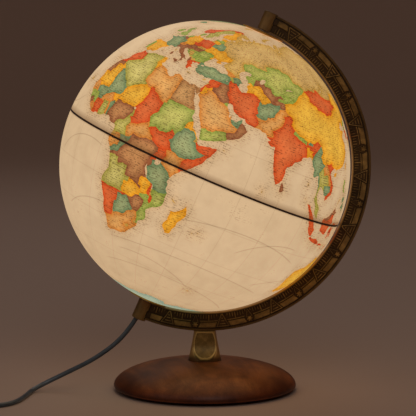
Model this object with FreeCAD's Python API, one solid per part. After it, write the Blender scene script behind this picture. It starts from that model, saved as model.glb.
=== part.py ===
import FreeCAD, Part
import math
import os

# An illuminated desktop globe, 300 mm across, on a domed wooden base. Millimetres, +Z up. The origin is
# the centre of the base on the surface that it stands on. The graduated arm lies in the XZ plane on the
# +X side, and the polar axis leans 23.5 degrees towards +X, through the globe's centre straight above
# the origin.

V = FreeCAD.Vector
Z_AXIS = V(0, 0, 1)
Y_AXIS = V(0, 1, 0)

# ---- driving dimensions ----
TILT = 23.5  # degrees between the polar axis and the vertical
CENTRE_Z = 234.0  # height of the globe's centre
GLOBE_R = 150.0
GLOBE_WALL = 1.5
NORTH_HOLE_R = 5.0
SOUTH_HOLE_R = 19.0  # lets the lamp through
RUNNING_GAP = 0.05  # radial clearance of the running fits

ARM_INNER_R = 152.3
ARM_OUTER_R = 171.5
ARM_HALF = 5.6  # half the arm's thickness over its plain bands
ARM_SUNK_HALF = 4.5  # the same in its recess and groove
RELIEF_HALF = 6.0  # the same over its raised triangles
BLOCK_R = 7.5
UPPER_BLOCK = (152.5, 172.3)  # from and to, along the polar axis
LOWER_BLOCK = (-173.5, -152.5)

BASE_R = 95.0
BASE_WIDEST_Z = 5.5
BASE_TOP_Z = 32.0
BASE_UNDER_Z = 3.0
FELT_R = 80.0
SEAT_Z = 31.2  # floor of the shallow seat that holds the stem
STEM_FOOT_R = 17.15
STEM_TOP_R = 11.2
STEM_FACE_Y = 5.9  # the stem's flat faces, from the arm's plane
STEM_FLARE_R = 17.9
STEM_FLARE_Z = 50.0  # below this the flat faces flare out
STEM_BOLT_R = 3.0  # M6

PIVOT_R = 3.0
TUBE_R = 5.0  # M10 lamp tube
TUBE_BORE_R = 3.2
DIAL_R = 22.0

CORD_D = 4.8
CORD_R = CORD_D / 2
EXIT_SHIFT = 2.2  # the cord leans to the outer side of the lower block's bore

SWITCH_HEADING = 147.0  # degrees from +X
SWITCH_L, SWITCH_W, SWITCH_SPLIT_Z, SWITCH_TOP_Z = 46.0, 26.0, 7.0, 14.5
COLLAR_L, COLLAR_R = 5.0, 4.2
ROCKER_Z, ROCKER_TILT = 12.0, 8.0  # its pivot's height, and its lean to each side
PLUG_HEADING = 58.0
PLUG_L, PLUG_W, PLUG_T = 34.0, 34.0, 13.4
SLEEVE_L = 20.0
PIN_R, PIN_L, PIN_SPACING = 2.0, 19.0, 18.6

# The cord's route, down from the lower block, out over the floor, and round to the switch.
ROUTE_TO_SWITCH = [
    (-71.19, 0.0, 75.77),
    (-83.2, 0.0, 56.2),
    (-112.5, -3.0, 33.8),
    (-144.5, -4.5, 18.2),
    (-178.5, -12.5, 2.8),
    (-183.5, -50.0, CORD_R),
    (-190.5, -80.0, CORD_R),
    (-203.5, -95.5, CORD_R),
    (-222.5, -102.3, 3.4),
    (-240.6, -97.0, SWITCH_SPLIT_Z),
]
ROUTE_TO_COIL = [
    (-287.6, -66.5, SWITCH_SPLIT_Z),
    (-299.6, -54.5, 4.8),
    (-306.4, -36.0, 3.0),
    (-306.6, -5.0, 3.0),
]
ROUTE_TO_PLUG = [
    (-306.6, -5.0, 7.85),
    (-306.8, 11.0, 6.2),
    (-304.0, 26.5, 4.2),
    (-296.5, 40.0, PLUG_T / 2),
]
COIL_CENTRE = V(-272.4, -5.0, 0)
COIL_MEAN_R = 27.0
COIL_HALF = 9.6  # half the bundle's width
COIL_Z = (0.6, 10.25)


# ---- helpers ----
def outline(start, *steps):
    """A face in the XZ plane. Each step is a point (r, z), or (middle, end) for an arc."""
    at = V(start[0], 0, start[1])
    first = at
    edges = []
    for step in steps:
        if isinstance(step[0], tuple):
            middle, end = (V(p[0], 0, p[1]) for p in step)
            edges.append(Part.Arc(at, middle, end).toShape())
        else:
            end = V(step[0], 0, step[1])
            edges.append(Part.LineSegment(at, end).toShape())
        at = end
    if (at - first).Length > 1e-6:
        edges.append(Part.LineSegment(at, first).toShape())
    return Part.Face(Part.Wire(edges))


def turned(start, *steps):
    return outline(start, *steps).revolve(V(0, 0, 0), Z_AXIS, 360)


def on_sphere(radius, r, sign=1):
    """The point (r, z) of a sphere about the origin, at distance r from the axis."""
    return (r, sign * math.sqrt(radius**2 - r**2))


def sphere_arc(radius, r_from, r_to, sign=1):
    """An arc step along a sphere's outline, from r_from to r_to."""
    a, b = (math.asin(r / radius) for r in (r_from, r_to))
    return (on_sphere(radius, radius * math.sin((a + b) / 2), sign), on_sphere(radius, r_to, sign))


def rod(radius, low, high, x=0.0, y=0.0):
    return Part.makeCylinder(radius, high - low, V(x, y, low))


def hexagon(flats, low, high):
    corner = flats / math.sqrt(3)
    turns = [math.radians(60 * k) for k in range(7)]
    points = [V(corner * math.cos(t), corner * math.sin(t), low) for t in turns]
    return Part.Face(Part.makePolygon(points)).extrude(V(0, 0, high - low))


def moved(shape, place, turn):
    placed = shape.copy()
    placed.Placement = FreeCAD.Placement(place, turn) * shape.Placement
    return placed


def along_axis(shape):
    """From the globe's own frame, with its centre at 0 and the north pole on +Z, to the real place."""
    return moved(shape, V(0, 0, CENTRE_Z), FreeCAD.Rotation(Y_AXIS, TILT))


def laid(shape, at, heading):
    """Turns a piece drawn along +X to its heading, and moves its origin to a point of the floor."""
    return moved(shape, V(at[0], at[1], 0), FreeCAD.Rotation(Z_AXIS, heading))


def mirrored(shape):
    return shape.mirror(V(0, 0, 0), Y_AXIS)


def save(name, shape):
    if not shape.isValid():
        print("NOT VALID:", name)
    shape.exportStep("parts/" + name + ".step")


# ---- base ----
def base_disc():
    dome = Part.Ellipse(V(BASE_R, 0, BASE_WIDEST_Z), V(0, 0, BASE_TOP_Z), V(0, 0, BASE_WIDEST_Z))
    seat_r = STEM_FOOT_R + 0.15
    seat_turn = math.acos(seat_r / BASE_R)
    edge = Part.ArcOfEllipse(dome, 0, seat_turn).toShape()
    seat_top, widest = (edge.Vertexes[k].Point for k in (-1, 0))
    recess_r, recess_top = 18.0, 14.0
    hole_r = STEM_BOLT_R + 0.3
    corners = [
        seat_top,
        V(seat_r, 0, SEAT_Z),
        V(hole_r, 0, SEAT_Z),
        V(hole_r, 0, recess_top),
        V(recess_r, 0, recess_top),
        V(recess_r, 0, BASE_UNDER_Z),
        V(BASE_R - 2.6, 0, BASE_UNDER_Z),
    ]
    edges = [Part.LineSegment(a, b).toShape() for a, b in zip(corners, corners[1:])]
    lip = Part.Arc(corners[-1], V(BASE_R - 0.7, 0, BASE_UNDER_Z + 0.8), widest).toShape()
    face = Part.Face(Part.Wire([edge, *edges, lip]))
    return face.revolve(V(0, 0, 0), Z_AXIS, 360)


def felt_pad():
    return rod(FELT_R, 0, BASE_UNDER_Z)


def flare_face(depth, low_turn):
    """The stem's front face seen from the side, as (y, z) points: flat, then flaring out as an arc."""
    radius = STEM_FLARE_R - depth
    centre_y = -(STEM_FACE_Y + STEM_FLARE_R)
    point = lambda turn: (
        centre_y + radius * math.cos(math.radians(turn)),
        STEM_FLARE_Z - radius * math.sin(math.radians(turn)),
    )
    return point(0), point(low_turn / 2), point(low_turn)


def side_prism(edges, half_width):
    """A prism along X, from edges in the YZ plane at x = 0."""
    face = Part.Face(Part.Wire(edges))
    face.translate(V(-half_width, 0, 0))
    return face.extrude(V(2 * half_width, 0, 0))


def yz_edges(*steps):
    edges = []
    at = None
    for step in steps:
        if at is None:
            at = V(0, *step)
            continue
        if isinstance(step[0], tuple):
            middle, end = (V(0, *p) for p in step)
            edges.append(Part.Arc(at, middle, end).toShape())
        else:
            end = V(0, *step)
            edges.append(Part.LineSegment(at, end).toShape())
        at = end
    return edges


def stem():
    waist = (13.9, 47.0)
    foot = (STEM_FOOT_R, SEAT_Z + 1.2)
    top_z = CENTRE_Z - ARM_OUTER_R + 1.0
    body = turned(
        (STEM_BOLT_R + 0.3, SEAT_Z),
        (STEM_FOOT_R, SEAT_Z),
        foot,
        (waist, (STEM_TOP_R, top_z)),
        (STEM_BOLT_R + 0.3, top_z),
    )
    flat, bend, low = flare_face(0, 75)
    scoop = side_prism(
        yz_edges((flat[0], 80), flat, (bend, low), (-60, low[1]), (-60, 80), (flat[0], 80)), 30
    )
    saddle = Part.makeCylinder(ARM_OUTER_R, 60, V(0, -30, CENTRE_Z), Y_AXIS)
    return body.cut(scoop).cut(mirrored(scoop)).cut(saddle)


def shield_outline(scale):
    """The shield's outline, squarish above and round below, scaled about its middle."""
    middle_z = 48.0
    half = [(9.0, 62.2), (11.5, 54.0), (11.8, 46.0), (9.3, 37.3), (0.0, 33.9)]
    right = [(x * scale, middle_z + (z - middle_z) * scale) for x, z in half]
    left = [(-x, z) for x, z in reversed(right)]
    face = outline(
        right[0], (right[1], right[2]), (right[3], right[4]), (left[1], left[2]), (left[3], left[4])
    )
    face.translate(V(0, 30, 0))
    return face.extrude(V(0, -60, 0))


def front_shield():
    def layer(depth):
        flat, bend, low = flare_face(0, 72)
        flat_out, bend_out, low_out = flare_face(depth, 72)
        steps = [(flat[0], 62.2), flat, (bend, low), low_out, (bend_out, flat_out)]
        return side_prism(yz_edges(*steps, (flat_out[0], 62.2), (flat[0], 62.2)), 14)

    field = layer(0.6).common(shield_outline(1.0))
    rim = layer(1.3).common(shield_outline(1.0).cut(shield_outline(0.86)))
    return field.fuse(rim).removeSplitter()


def stem_bolt():
    head_z = 8.4
    return hexagon(10, head_z, head_z + 4).fuse(rod(STEM_BOLT_R, head_z + 4, 78))


def stem_washer():
    return rod(9, 12.4, 14).cut(rod(STEM_BOLT_R + 0.2, 12.4, 14))


# ---- arm, in the globe's own frame ----
def around_arm(half_steps, turn_from, turn_to):
    """Sweeps a band profile, as (radius, half thickness) points, round the globe's centre."""
    points = [V(0, -y, r) for r, y in half_steps] + [V(0, y, r) for r, y in reversed(half_steps)]
    face = Part.Face(Part.makePolygon([*points, points[0]]))
    face.rotate(V(0, 0, 0), Y_AXIS, turn_from)
    return face.revolve(V(0, 0, 0), Y_AXIS, turn_to - turn_from)


def wedge(polar, tip, foot, tip_half, foot_half, half):
    """A tapering tooth through the arm: tip and foot are radii, polar its angle from the north pole."""
    corners = [(-tip_half, tip), (tip_half, tip), (foot_half, foot), (-foot_half, foot)]
    points = [V(x, -half, z) for x, z in corners]
    tooth = Part.Face(Part.makePolygon([*points, points[0]])).extrude(V(0, 2 * half, 0))
    tooth.rotate(V(0, 0, 0), Y_AXIS, polar)
    return tooth


def meridian_arm():
    bands = [
        (ARM_INNER_R, ARM_HALF - 0.5),
        (ARM_INNER_R + 0.5, ARM_HALF),
        (ARM_INNER_R + 1.6, ARM_HALF),
        (ARM_INNER_R + 2.0, ARM_SUNK_HALF),
        (162.0, ARM_SUNK_HALF),
        (162.3, ARM_HALF),
        (168.0, ARM_HALF),
        (168.3, ARM_SUNK_HALF),
        (169.5, ARM_SUNK_HALF),
        (169.8, ARM_HALF),
        (ARM_OUTER_R - 0.6, ARM_HALF),
        (ARM_OUTER_R, ARM_HALF - 0.8),
    ]
    arm = around_arm(bands, 1.5, 178.5)
    teeth = []
    for polar in range(10, 180, 20):
        teeth.append(wedge(polar, 154.1, 168.1, 0.9, 7.2, RELIEF_HALF))
    for polar in range(20, 180, 20):
        teeth.append(wedge(polar, 154.1, 163.5, 0.5, 3.4, RELIEF_HALF - 0.3))
        rosette = Part.makeCylinder(3.0, 2 * RELIEF_HALF, V(0, -RELIEF_HALF, 165.0), Y_AXIS)
        rosette.rotate(V(0, 0, 0), Y_AXIS, polar)
        teeth.append(rosette)
    arm = arm.fuse(teeth)
    for low, high in (UPPER_BLOCK, LOWER_BLOCK):
        arm = arm.cut(rod(BLOCK_R, low - 2, high + 2))
    arm = along_axis(arm)
    return arm.cut(rod(STEM_BOLT_R, CENTRE_Z - ARM_OUTER_R - 2, 78))


def upper_pivot_block():
    low, high = UPPER_BLOCK
    head_floor = high - 3.5
    body = rod(BLOCK_R, low, high)
    body = body.makeChamfer(0.4, [e for e in body.Edges if len(e.Vertexes) == 1])
    return body.cut(rod(PIVOT_R, low, high)).cut(rod(5.2, head_floor, high))


def pivot_screw():
    high = UPPER_BLOCK[1]
    head = rod(5.0, high - 3.5, high - 0.3)
    slot = Part.makeBox(12, 1.4, 1.5, V(-6, -0.7, high - 1.8))
    return rod(PIVOT_R, 145.5, high - 3.5).fuse(head).cut(slot)


def lower_pivot_block():
    low, high = LOWER_BLOCK
    body = rod(BLOCK_R, low, high)
    body = body.makeChamfer(0.4, [e for e in body.Edges if len(e.Vertexes) == 1])
    return body.cut(rod(TUBE_R, -160, high)).cut(rod(EXIT_SHIFT + CORD_R + 0.15, low, -160))


# ---- lamp, in the globe's own frame ----
def lamp_tube():
    return rod(TUBE_R, -160, -124).cut(rod(TUBE_BORE_R, -160, -124))


def thrust_washer():
    high = LOWER_BLOCK[1] + 1.0
    return rod(7.3, LOWER_BLOCK[1], high).cut(rod(TUBE_R, LOWER_BLOCK[1], high))


def tube_nut():
    return hexagon(13, -142.2, -138).cut(rod(TUBE_R, -142.2, -138))


def lamp_lead():
    """The end of the cord inside: straight up the tube, and leaning outwards in the lower block."""
    bend, top = V(0, 0, -158.0), V(0, 0, -116.0)
    way_out = V(-EXIT_SHIFT, 0, LOWER_BLOCK[0])
    lean = bend - way_out
    lower = Part.makeCylinder(CORD_R, lean.Length, way_out, lean)
    return lower.fuse(Part.makeSphere(CORD_R, bend)).fuse(rod(CORD_R, bend.z, top.z))


def holder_cap():
    return turned((TUBE_R, -129), (13, -129), (13, -112), (11.6, -112), (11.6, -126.5), (TUBE_R, -126.5))


def lamp_holder():
    return turned((3, -112), (12.6, -112), (12.6, -87), (7.3, -87), (7.3, -109), (3, -109))


def bulb_cap():
    return turned((0, -108.8), (2.5, -108.8), (2.5, -107.8), (7, -105), (7, -86), (0, -86))


def bulb_glass():
    """A candle bulb, blown thin. Each skin is one smooth curve that ends level at the tip."""
    outer = [(6.6, -86), (13.2, -70), (17.5, -50), (13.4, -26), (0, -6)]
    inner = [(5.7, -86), (12.4, -70), (16.6, -50), (12.6, -26.3), (0, -6.9)]
    skins = []
    for points in (outer, inner):
        curve = Part.BSplineCurve()
        through = [V(r, 0, z) for r, z in points]
        curve.interpolate(Points=through, InitialTangent=V(0.3, 0, 1), FinalTangent=V(-1, 0, 0))
        skins.append(curve.toShape())
    tip = Part.LineSegment(V(0, 0, outer[-1][1]), V(0, 0, inner[-1][1])).toShape()
    neck = Part.LineSegment(V(inner[0][0], 0, inner[0][1]), V(outer[0][0], 0, outer[0][1])).toShape()
    face = Part.Face(Part.Wire([skins[0], tip, skins[1], neck]))
    return face.revolve(V(0, 0, 0), Z_AXIS, 360)


def filament_mount():
    parts = [rod(7.0, -71, -70.4), rod(7.0, -34.6, -34)]
    return rod(2.0, -86, -34).fuse(parts)


def led_filaments():
    turns = [math.radians(45 + 90 * k) for k in range(4)]
    rods = [rod(0.9, -70.4, -34.6, 5.6 * math.cos(t), 5.6 * math.sin(t)) for t in turns]
    return Part.makeCompound(rods)


# ---- globe, in its own frame ----
def hemisphere(sign, hole_r):
    inner_r = GLOBE_R - GLOBE_WALL
    return turned(
        (inner_r, 0),
        (GLOBE_R, 0),
        sphere_arc(GLOBE_R, GLOBE_R, hole_r, sign),
        on_sphere(inner_r, hole_r, sign),
        sphere_arc(inner_r, hole_r, inner_r, sign),
    )


def equator_ring():
    inner_r = GLOBE_R - GLOBE_WALL
    half = 5.0
    edge_r = math.sqrt(inner_r**2 - half**2)
    flat_r = inner_r - 1.7
    return turned((edge_r, -half), ((inner_r, 0), (edge_r, half)), (flat_r, half), (flat_r, -half))


def north_bush():
    bore = PIVOT_R + RUNNING_GAP
    under = 148.1
    return turned(
        (bore, 146.6), (9, 146.6), (9, under), (NORTH_HOLE_R, under), (NORTH_HOLE_R, 152), (bore, 152)
    )


def south_cap():
    """Closes the lamp opening and turns on the lamp tube."""
    bore = TUBE_R + RUNNING_GAP
    hub_r, flange_r = 8.5, 21.0
    ring_r, deep = SOUTH_HOLE_R - 1.6, -143.5
    web_r, skin_r = 148.6, 151.4
    return turned(
        (bore, -142.5),
        (hub_r, -142.5),
        on_sphere(web_r, hub_r, -1),
        sphere_arc(web_r, hub_r, ring_r, -1),
        (ring_r, deep),
        (SOUTH_HOLE_R, deep),
        on_sphere(GLOBE_R, SOUTH_HOLE_R, -1),
        sphere_arc(GLOBE_R, SOUTH_HOLE_R, flange_r, -1),
        on_sphere(skin_r, flange_r, -1),
        sphere_arc(skin_r, flange_r, bore, -1),
    )


def hour_dial():
    under_r, top_r = GLOBE_R + 0.45, GLOBE_R + 1.6
    bore = NORTH_HOLE_R + RUNNING_GAP
    return turned(
        on_sphere(under_r, bore),
        sphere_arc(under_r, bore, DIAL_R),
        on_sphere(top_r, DIAL_R),
        sphere_arc(top_r, DIAL_R, bore),
    )


# ---- in-line switch, drawn along +X about its middle ----
def rounded_slab(length, width, low, high, corner):
    slab = Part.makeBox(length, width, high - low, V(-length / 2, -width / 2, low))
    upright = [e for e in slab.Edges if abs(e.tangentAt(e.FirstParameter).z) > 0.9]
    return slab.makeFillet(corner, upright)


SCREW_X = 18.5
BOSS_R = 3.4
WALL = 1.6


def collars():
    length = SWITCH_L / 2 + COLLAR_L
    bar = Part.makeCylinder(COLLAR_R, 2 * length, V(-length, 0, SWITCH_SPLIT_Z), V(1, 0, 0))
    return bar.cut(Part.makeBox(SWITCH_L - 2, 30, 30, V(-SWITCH_L / 2 + 1, -15, 0)))


def switch_lower():
    shell = rounded_slab(SWITCH_L, SWITCH_W, 0, SWITCH_SPLIT_Z, 8)
    bottom = [e for e in shell.Edges if e.BoundBox.ZMax < 0.01]
    shell = shell.makeFillet(1.2, bottom)
    hollow = rounded_slab(SWITCH_L - 2 * WALL, SWITCH_W - 2 * WALL, WALL, SWITCH_SPLIT_Z, 6.4)
    under = Part.makeBox(80, 40, SWITCH_SPLIT_Z, V(-40, -20, 0))
    shell = shell.cut(hollow).fuse(collars().common(under))
    for x in (-SCREW_X, SCREW_X):
        shell = shell.fuse(rod(BOSS_R, WALL / 2, SWITCH_SPLIT_Z, x))
        shell = shell.cut(rod(2.8, 0, 2.2, x)).cut(rod(1.3, 0, SWITCH_SPLIT_Z, x))
    return shell


def switch_upper():
    shell = rounded_slab(SWITCH_L, SWITCH_W, SWITCH_SPLIT_Z, SWITCH_TOP_Z, 8)
    top = [e for e in shell.Edges if e.BoundBox.ZMin > SWITCH_TOP_Z - 0.01]
    shell = shell.makeFillet(2.5, top)
    roof = SWITCH_TOP_Z - WALL
    hollow = rounded_slab(SWITCH_L - 2 * WALL, SWITCH_W - 2 * WALL, SWITCH_SPLIT_Z, roof, 6.4)
    over = Part.makeBox(80, 40, 20, V(-40, -20, SWITCH_SPLIT_Z))
    shell = shell.cut(hollow).fuse(collars().common(over))
    for x in (-SCREW_X, SCREW_X):
        shell = shell.fuse(rod(BOSS_R, SWITCH_SPLIT_Z, roof + 0.3, x))
        shell = shell.cut(rod(1.25, SWITCH_SPLIT_Z, 11.2, x))
    well = Part.makeBox(22.4, 13.6, 6, V(-11.2, -6.8, SWITCH_TOP_Z - 6))
    mouth = Part.makeBox(19.6, 11, 12, V(-9.8, -5.5, SWITCH_TOP_Z - 8))
    pivot = Part.makeCylinder(1.5 + RUNNING_GAP, 13.2, V(0, -6.6, ROCKER_Z), Y_AXIS)
    return shell.fuse(well).cut(mouth).cut(pivot).removeSplitter()


def switch_rocker():
    up, down, end = 3.4, -0.4, 8.8
    face = outline(
        (-end, up), ((0, up - 1.3), (end, up)), (end, down), ((0, down - 3.0), (-end, down)), (-end, up)
    )
    face.translate(V(0, 5.2, 0))
    rocker = face.extrude(V(0, -10.4, 0))
    rocker = rocker.fuse(Part.makeCylinder(1.5, 13.0, V(0, -6.5, 0), Y_AXIS))
    rocker.rotate(V(0, 0, 0), Y_AXIS, ROCKER_TILT)
    rocker.translate(V(0, 0, ROCKER_Z))
    return rocker


def switch_screws():
    screws = []
    for x in (-SCREW_X, SCREW_X):
        cross = Part.makeBox(3.2, 0.7, 0.7, V(x - 1.6, -0.35, 0.8))
        screws.append(rod(2.6, 0.8, 2.2, x).fuse(rod(1.25, 2.2, 10.6, x)).cut(cross))
    return Part.makeCompound(screws)


# ---- plug, drawn along +X from the cord's end ----
def plug_sleeve():
    middle = V(0, 0, PLUG_T / 2)
    return Part.makeCone(3.2, 4.8, SLEEVE_L, middle, V(1, 0, 0))


def plug_body():
    back, front = SLEEVE_L, SLEEVE_L + PLUG_L
    half = PLUG_W / 2
    near_side = [(back, -6.5), (back + 14, -half + 1.5), (front, -half)]
    far_side = [(x, -y) for x, y in reversed(near_side)]
    corners = [V(x, y, 0) for x, y in near_side + far_side]
    slab = Part.Face(Part.makePolygon([*corners, corners[0]])).extrude(V(0, 0, PLUG_T))
    return slab.makeFillet(2.6, [e for e in slab.Edges if e.BoundBox.XMax < front - 0.01])


def plug_pins():
    front = SLEEVE_L + PLUG_L
    pins = []
    for y in (-PIN_SPACING / 2, PIN_SPACING / 2):
        pin = Part.makeCylinder(PIN_R, PIN_L, V(front, y, PLUG_T / 2), V(1, 0, 0))
        tip = [e for e in pin.Edges if e.BoundBox.XMin > front + PIN_L - 0.01]
        pins.append(pin.makeFillet(0.9, tip))
    return Part.makeCompound(pins)


# ---- cord ----
def cord_tube(name, route):
    """Straight runs joined by tangent arcs, each as large as its two runs allow."""
    points = [V(*p) for p in route]
    edges = []
    radii = []
    at = points[0]
    for a, b, c in zip(points, points[1:], points[2:]):
        before, after = b - a, c - b
        half_turn = before.getAngle(after) / 2
        reach = 0.45 * min(before.Length, after.Length)
        radius = reach / math.tan(half_turn)
        back, ahead = before.normalize(), after.normalize()
        arc_from, arc_to = b - back * reach, b + ahead * reach
        inwards = (ahead - back).normalize()
        middle = b + inwards * (radius * (1 / math.cos(half_turn) - 1))
        edges.append(Part.LineSegment(at, arc_from).toShape())
        edges.append(Part.Arc(arc_from, middle, arc_to).toShape())
        radii.append(round(radius, 1))
        at = arc_to
    edges.append(Part.LineSegment(at, points[-1]).toShape())
    length = sum(e.Length for e in edges)
    path = Part.Wire(edges)
    first = (points[1] - points[0]).normalize()
    ring = Part.Wire(Part.makeCircle(CORD_R, points[0], first))
    tube = path.makePipeShell([ring], True, False)
    expected = math.pi * CORD_R**2 * length
    ratio = tube.Volume / expected
    print(name, "radii", radii, "length", round(length, 1), "volume ratio", round(ratio, 4))
    save(name, tube)


def coil_ring():
    inner, outer = COIL_MEAN_R - COIL_HALF, COIL_MEAN_R + COIL_HALF
    ring = rod(outer, *COIL_Z).cut(rod(inner, *COIL_Z))
    ring.translate(COIL_CENTRE)
    return ring


def coil_tie():
    """A flat strap round the coil's bundle, on the side away from the cord's ends."""
    gap, gap_z, strap, width = 0.3, 0.05, 0.5, 5.0
    inner_l = 2 * (COIL_HALF + gap)
    low, high = COIL_Z[0] - gap_z, COIL_Z[1] + gap_z
    outside = Part.makeBox(inner_l + 2 * strap, width, high - low + 2 * strap, V(0, -width / 2, 0))
    inside = Part.makeBox(inner_l, width, high - low, V(strap, -width / 2, strap))
    band = outside.cut(inside)
    band.translate(COIL_CENTRE + V(COIL_MEAN_R - COIL_HALF - gap - strap, 0, low - strap))
    return band


os.makedirs("parts", exist_ok=True)

save("base_disc", base_disc())
save("felt_pad", felt_pad())
save("stem", stem())
save("front_shield", front_shield())
save("rear_shield", mirrored(front_shield()))
save("stem_bolt", stem_bolt())
save("stem_washer", stem_washer())
save("meridian_arm", meridian_arm())

for piece in (
    upper_pivot_block,
    pivot_screw,
    lower_pivot_block,
    lamp_tube,
    thrust_washer,
    tube_nut,
    lamp_lead,
    holder_cap,
    lamp_holder,
    bulb_cap,
    bulb_glass,
    filament_mount,
    led_filaments,
    equator_ring,
    north_bush,
    south_cap,
    hour_dial,
):
    save(piece.__name__, along_axis(piece()))
save("north_hemisphere", along_axis(hemisphere(1, NORTH_HOLE_R)))
save("south_hemisphere", along_axis(hemisphere(-1, SOUTH_HOLE_R)))

switch_in, switch_out = V(*ROUTE_TO_SWITCH[-1]), V(*ROUTE_TO_COIL[0])
switch_at = (switch_in + switch_out) / 2
for piece in (switch_lower, switch_upper, switch_rocker, switch_screws):
    save(piece.__name__, laid(piece(), switch_at, SWITCH_HEADING))
for piece in (plug_sleeve, plug_body, plug_pins):
    save(piece.__name__, laid(piece(), ROUTE_TO_PLUG[-1], PLUG_HEADING))

cord_tube("cord_to_switch", ROUTE_TO_SWITCH)
cord_tube("cord_to_coil", ROUTE_TO_COIL)
cord_tube("cord_to_plug", ROUTE_TO_PLUG)
save("cord_coil", coil_ring())
save("coil_tie", coil_tie())
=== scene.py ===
"""The looks of an illuminated desktop globe on a wooden base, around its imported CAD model. Metres, +Z up."""
import math
import bmesh
import bpy
from mathutils import Matrix, Vector, bvhtree, geometry, kdtree, noise


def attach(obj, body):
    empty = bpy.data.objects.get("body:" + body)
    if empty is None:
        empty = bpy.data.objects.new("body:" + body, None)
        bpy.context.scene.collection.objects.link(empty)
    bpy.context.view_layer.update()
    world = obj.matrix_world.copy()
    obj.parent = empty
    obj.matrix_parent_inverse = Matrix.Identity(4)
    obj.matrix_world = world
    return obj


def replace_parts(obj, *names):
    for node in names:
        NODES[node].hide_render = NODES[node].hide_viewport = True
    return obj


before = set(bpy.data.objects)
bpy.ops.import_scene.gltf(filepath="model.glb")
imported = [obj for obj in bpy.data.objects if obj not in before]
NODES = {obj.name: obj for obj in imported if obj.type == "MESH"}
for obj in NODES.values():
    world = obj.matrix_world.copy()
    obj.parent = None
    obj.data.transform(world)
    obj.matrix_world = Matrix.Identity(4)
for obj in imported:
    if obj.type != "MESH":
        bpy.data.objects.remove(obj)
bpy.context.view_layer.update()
MM = 0.001
TILT = math.radians(23.5)
CENTRE = Vector((0, 0, 0.234))
TURN = Matrix.Rotation(TILT, 3, "Y")        # the globe's own axes, leaning to +X
GLOBE_R = 0.150

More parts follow.
